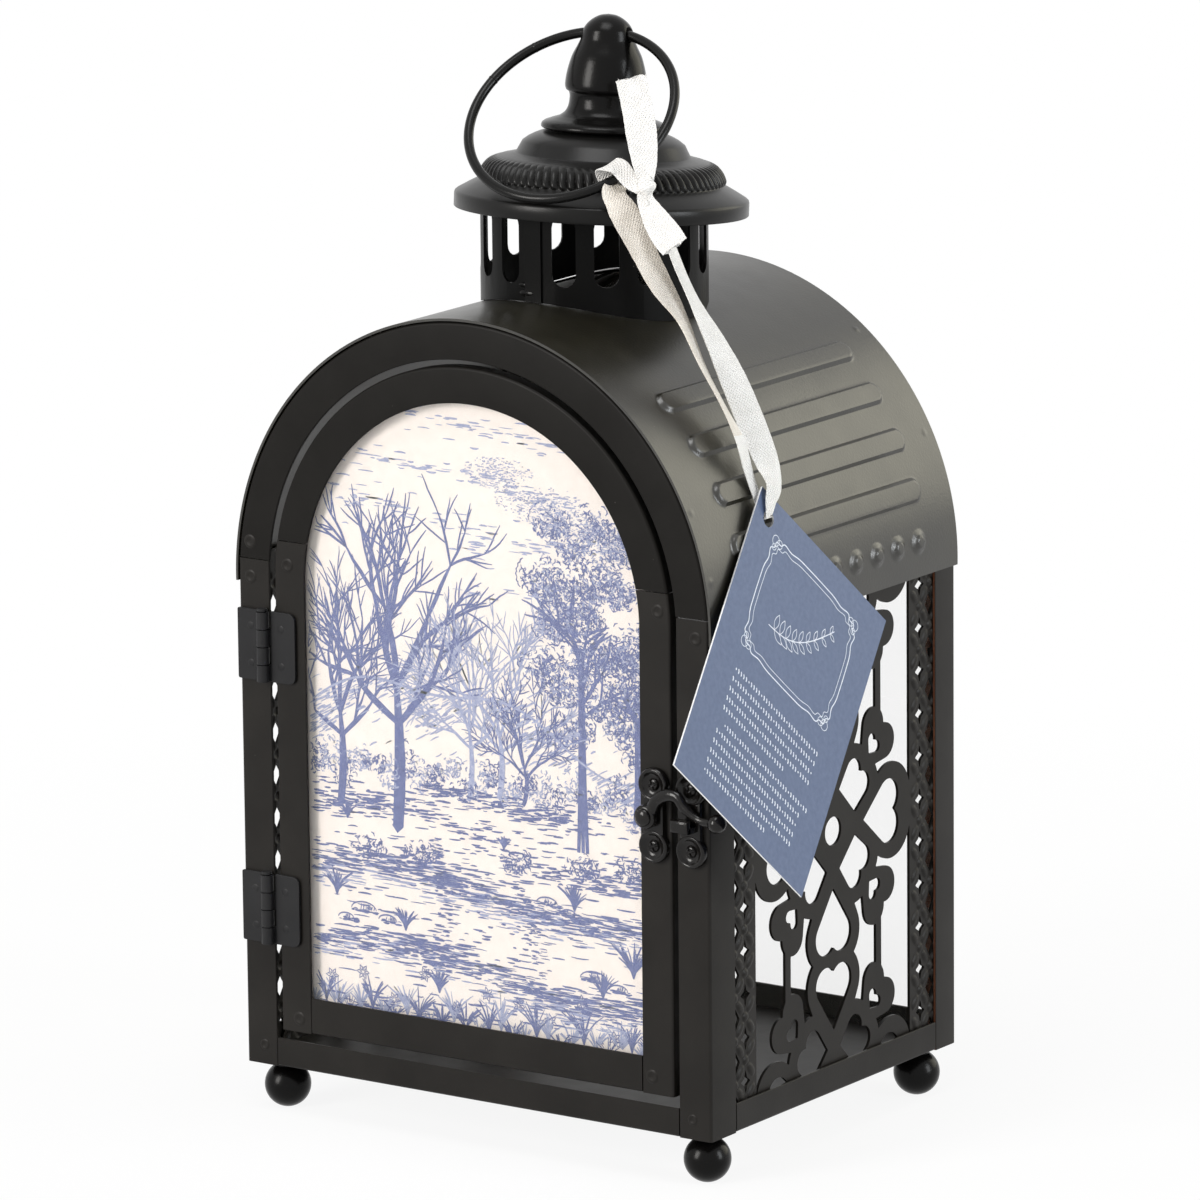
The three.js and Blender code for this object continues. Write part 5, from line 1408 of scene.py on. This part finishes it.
def soften(name, material, width, segments=3):
    """A solid keeps its shape and gets a material; a rim catches light on its edges."""
    coat(name, material)
    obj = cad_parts[name]
    if "custom_normal" in obj.data.attributes:
        obj.data.attributes.remove(obj.data.attributes["custom_normal"])
    weld = obj.modifiers.new("weld", "WELD")
    weld.merge_threshold = 0.000002
    edge = obj.modifiers.new("edge", "BEVEL")
    edge.width = width * MM
    edge.segments = segments
    edge.limit_method = "ANGLE"
    edge.angle_limit = 38 * RAD
    obj.data.polygons.foreach_set("use_smooth", [True] * len(obj.data.polygons))
    edge.harden_normals = True


def keep_solids():
    for name, material in (("rear_glass", GLASS), ("door_glass", GLASS), ("door_print", PAPER)):
        coat(name, material)
    coat("finial_nut", ZINC)
    soften("base_plate", BLACK, 0.2)
    # The chimney takes the darker copy of the black paint, a painted shade
    soften("chimney", SHADED_CHIMNEY_BLACK, 0.12, 2)
    for level in ("lower", "upper"):
        soften(level + "_hinge_frame_leaf", HINGE, 0.16)
        soften(level + "_hinge_door_leaf", HINGE, 0.16)
        soften(level + "_hinge_pin", HINGE, 0.1)
        for side in ("left", "right"):
            soften(f"door_{level}_{side}_clip", BLACK, 0.1)
            soften(f"rear_{level}_{side}_clip", BLACK, 0.1)


def add_latch():
    """Two dished plates with cross-slot screws, the keeper and the swan-neck hook."""
    middle, front, wall = 101.298, -62.35, 1.6
    plate_x, post_x, pivot_x, keeper_x = 60.0, 71.9, 59.0, 71.3
    lobe_at, bridge_half, bridge_high = 8.4, 3.4, 5.2
    hook_y, keeper_back, keeper_wall = -63.9, -65.45, 1.5

    def cross_slot(u, v, y):
        """The depth of a screw's slots, which run at a slant across its sunk head."""
        slots = min(abs(u + 0.4 * v), abs(v - 0.4 * u))
        return 0.4 if math.hypot(u, v) < 1.4 and y < front + 0.4 and slots < 0.3 else 0

    def lobe(x, z):
        dish = [(0.05, 0.1), (0.3, 0.1), (0.6, 0.12), (0.9, 0.15), (1.2, 0.2), (1.45, 0.35), (1.6, 0.6)]
        dish += [(1.75, 0.95), (2.2, 0.95), (2.8, 0.7), (3.2, 0.35), (3.5, 0), (3.75, -0.16), (4, -0.2)]
        dish += [(4.25, -0.1), (4.5, 0.25), (4.6, 0.6), (4.6, wall), (0.05, wall)]
        return turned_front(x, z, [(r, front + y) for r, y in dish], 48, 0.5, cross_slot)

    def block(x0, x1, y0, y1, z0, z1, chamfer):
        """A box with its front edges cut off."""
        points = []
        for y, inset in ((y1, 0), (y0 + chamfer, 0), (y0 + 0.3 * chamfer, 0.3 * chamfer), (y0, chamfer)):
            left, right, low, high = x0 + inset, x1 - inset, z0 + inset, z1 - inset
            points += [(left, y, low), (right, y, low), (right, y, high), (left, y, high)]
        return closed_shell(points, 4)

    def plate(x):
        low, high = middle - bridge_high, middle + bridge_high
        bridge = block(x - bridge_half, x + bridge_half, front, front + wall, low, high, 0.7)
        return [lobe(x, middle + lobe_at), lobe(x, middle - lobe_at), bridge]

    button = [(0.05, -66.45), (0.9, -66.4), (1.7, -66.2), (2.2, -65.85), (2.35, -65.5), (2.2, -65.45)]
    button += [(1.5, -65.45), (1.5, front + 0.2), (0.05, front + 0.2)]
    dished = joined(*plate(plate_x), turned_front(pivot_x, middle, button, 32, 0.5))
    piece("latch_plate_dished", *dished, LATCH_BLACK, "door_leaf", ["latch_plate"], 40)

    left, right = keeper_x - 2.9, keeper_x + 2.9
    low, high, out = middle - 2.6, middle + 1, keeper_back - keeper_wall
    tongue = block(left, right, out, keeper_back, low, high, 0.8)
    foot = block(left, right, out + 0.5, front + 0.2, low, low + keeper_wall, 0.3)
    catch = joined(*plate(post_x), tongue, foot)
    piece("latch_catch_dished", *catch, LATCH_BLACK, "lantern_body", ["latch_catch"], 40)

    line = [
        (pivot_x + 1.6, middle + 1.6),
        (pivot_x + 3.2, middle + 4.6),
        (pivot_x + 6.6, middle + 6.6),
        (pivot_x + 10, middle + 6.4),
        (keeper_x, middle + 3.8),
        (keeper_x + 3.4, middle + 1.6),
        (keeper_x + 6, middle + 0.9),
        (keeper_x + 9.6, middle + 0.9),
    ]
    line = smooth_profile(line, 5)
    sides = 18
    points = []
    for i, (x, z) in enumerate(line):
        before, after = line[max(i - 1, 0)], line[min(i + 1, len(line) - 1)]
        dx, dz = after[0] - before[0], after[1] - before[1]
        reach = math.hypot(dx, dz)
        t = i / (len(line) - 1)
        deep = 1.3 if t < 0.6 else 1.3 - 0.35 * math.sin(math.pi * (t - 0.6) / 0.4)
        wide = deep * (1.28 if t < 0.5 else 1.28 - 0.4 * (t - 0.5))
        for u, v in circle(sides):
            across = wide * u / reach
            points.append((x - dz * across, hook_y + deep * v, z + dx * across))
    arm = closed_shell(points, sides)
    # The eye round the pivot, a ring with rounded edges
    rim = [(1.8, 1.2), (2.5, 1.3), (3.0, 1.1), (3.3, 0.5)]
    rim = [(r, hook_y - y) for r, y in rim] + [(r, hook_y + y) for r, y in reversed(rim)]
    points = [(pivot_x + u, y, middle + v) for r, y in rim for u, v in circle(36, r)]
    eye = points, outward(points, grid_faces(len(rim), 36, True))
    ball_r = 2.6
    turns = [math.pi * k / 14 for k in range(1, 14)]
    rings = [(ball_r * math.sin(a), hook_y - ball_r * math.cos(a)) for a in turns]
    ball = turned_front(keeper_x + 10.4, middle + 0.9, rings, 28, 0.5)
    low, high = middle - 0.6, middle + 4
    nib = block(keeper_x - 1.4, keeper_x + 1.4, hook_y - 1.1, hook_y + 1.1, low, high, 0.3)
    hook = joined(arm, eye, ball, nib)
    piece("latch_hook_swan", *hook, LATCH_BLACK, "hook", ["latch_hook"], 45)


def add_rivets():
    """Shallow rivet heads on the hinge leaves."""
    radius, high = 1.1, 0.16
    leaf_front = FRONT - 0.925
    head = []
    for k in range(6):
        turn = math.pi / 2 * k / 5
        head.append((radius * max(math.sin(turn), 0.03), leaf_front - high * math.cos(turn)))
    heights = [middle + dz for middle in (58.2, 131.9) for dz in (-5.2, 5.2)]
    for name, x, body in (("frame", -72.6, "lantern_body"), ("door", -62.4, "door_leaf")):
        heads = joined(*(turned_front(x, z, head, 18) for z in heights))
        piece(f"hinge_{name}_rivets", *heads, HINGE, body, (), 60)


add_print()
keep_solids()
add_latch()
add_rivets()

# Surroundings


def white_rays(tree):
    """1 for the rays that show the white surroundings: the camera's, and those off metal or in glass."""
    ray = node(tree, "ShaderNodeLightPath").outputs
    mirrored_or_through = maths(tree, "MAXIMUM", ray["Is Glossy Ray"], ray["Is Transmission Ray"])
    return maths(tree, "MAXIMUM", ray["Is Camera Ray"], mirrored_or_through)


def add_surroundings():
    scene = bpy.context.scene
    scene.view_settings.view_transform = "Standard"
    scene.world = bpy.data.worlds.new("studio")
    tree = emptied(scene.world)
    seen = node(tree, "ShaderNodeBackground", {"Color": (1, 1, 1, 1), "Strength": 1})
    lit = node(tree, "ShaderNodeBackground", {"Color": (0.95, 0.97, 1, 1), "Strength": 0.2})
    inputs = {0: white_rays(tree), 1: lit.outputs[0], 2: seen.outputs[0]}
    mixed = node(tree, "ShaderNodeMixShader", inputs)
    node(tree, "ShaderNodeOutputWorld", {"Surface": mixed.outputs[0]})

    size = 6
    corners = [(-size, -size, 0), (size, -size, 0), (size, size, 0), (-size, size, 0)]
    mesh = bpy.data.meshes.new("floor")
    mesh.from_pydata(corners, [], [(0, 1, 2, 3)])
    floor = bpy.data.objects.new("floor", mesh)
    scene.collection.objects.link(floor)
    material = bpy.data.materials.new("white_floor")
    tree = emptied(material)
    matte = node(tree, "ShaderNodeBsdfDiffuse", {"Color": (0.9, 0.9, 0.9, 1)})
    glow = node(tree, "ShaderNodeEmission", {"Color": (1, 1, 1, 1), "Strength": 1})
    place = node(tree, "ShaderNodeTexCoord").outputs["Object"]
    away = node(tree, "ShaderNodeVectorMath", {0: place}, operation="LENGTH").outputs["Value"]
    fade = {"Value": away, "From Min": 0.12, "From Max": 0.5, "To Min": 0.9, "To Max": 1}
    white = node(tree, "ShaderNodeMapRange", fade).outputs[0]
    share = maths(tree, "MULTIPLY", white_rays(tree), white)
    inputs = {0: share, 1: matte.outputs[0], 2: glow.outputs[0]}
    mixed = node(tree, "ShaderNodeMixShader", inputs)
    node(tree, "ShaderNodeOutputMaterial", {"Surface": mixed.outputs[0]})
    mesh.materials.append(material)

    aim = Vector((0, 0, 0.15))

    def softbox(name, place, wide, tall, power, colour=(1, 1, 1)):
        data = bpy.data.lights.new(name, "AREA")
        data.shape = "RECTANGLE"
        data.size = wide
        data.size_y = tall
        data.energy = power
        data.color = colour
        lamp = bpy.data.objects.new(name, data)
        scene.collection.objects.link(lamp)
        lamp.location = place
        lamp.rotation_euler = (aim - Vector(place)).to_track_quat("-Z", "Y").to_euler()

    softbox("left_box", (-0.75, -1.9, 0.9), 0.7, 1.1, 36, (1, 0.975, 0.94))
    softbox("right_box", (2.2, 0.35, 0.75), 0.7, 1.2, 26, (0.93, 0.97, 1))
    softbox("top_box", (0.1, -0.5, 2.3), 1.1, 1.1, 22)
    softbox("rear_box", (1.1, 2.1, 0.95), 1.7, 1.4, 15, (1, 0.95, 0.74))


add_surroundings()
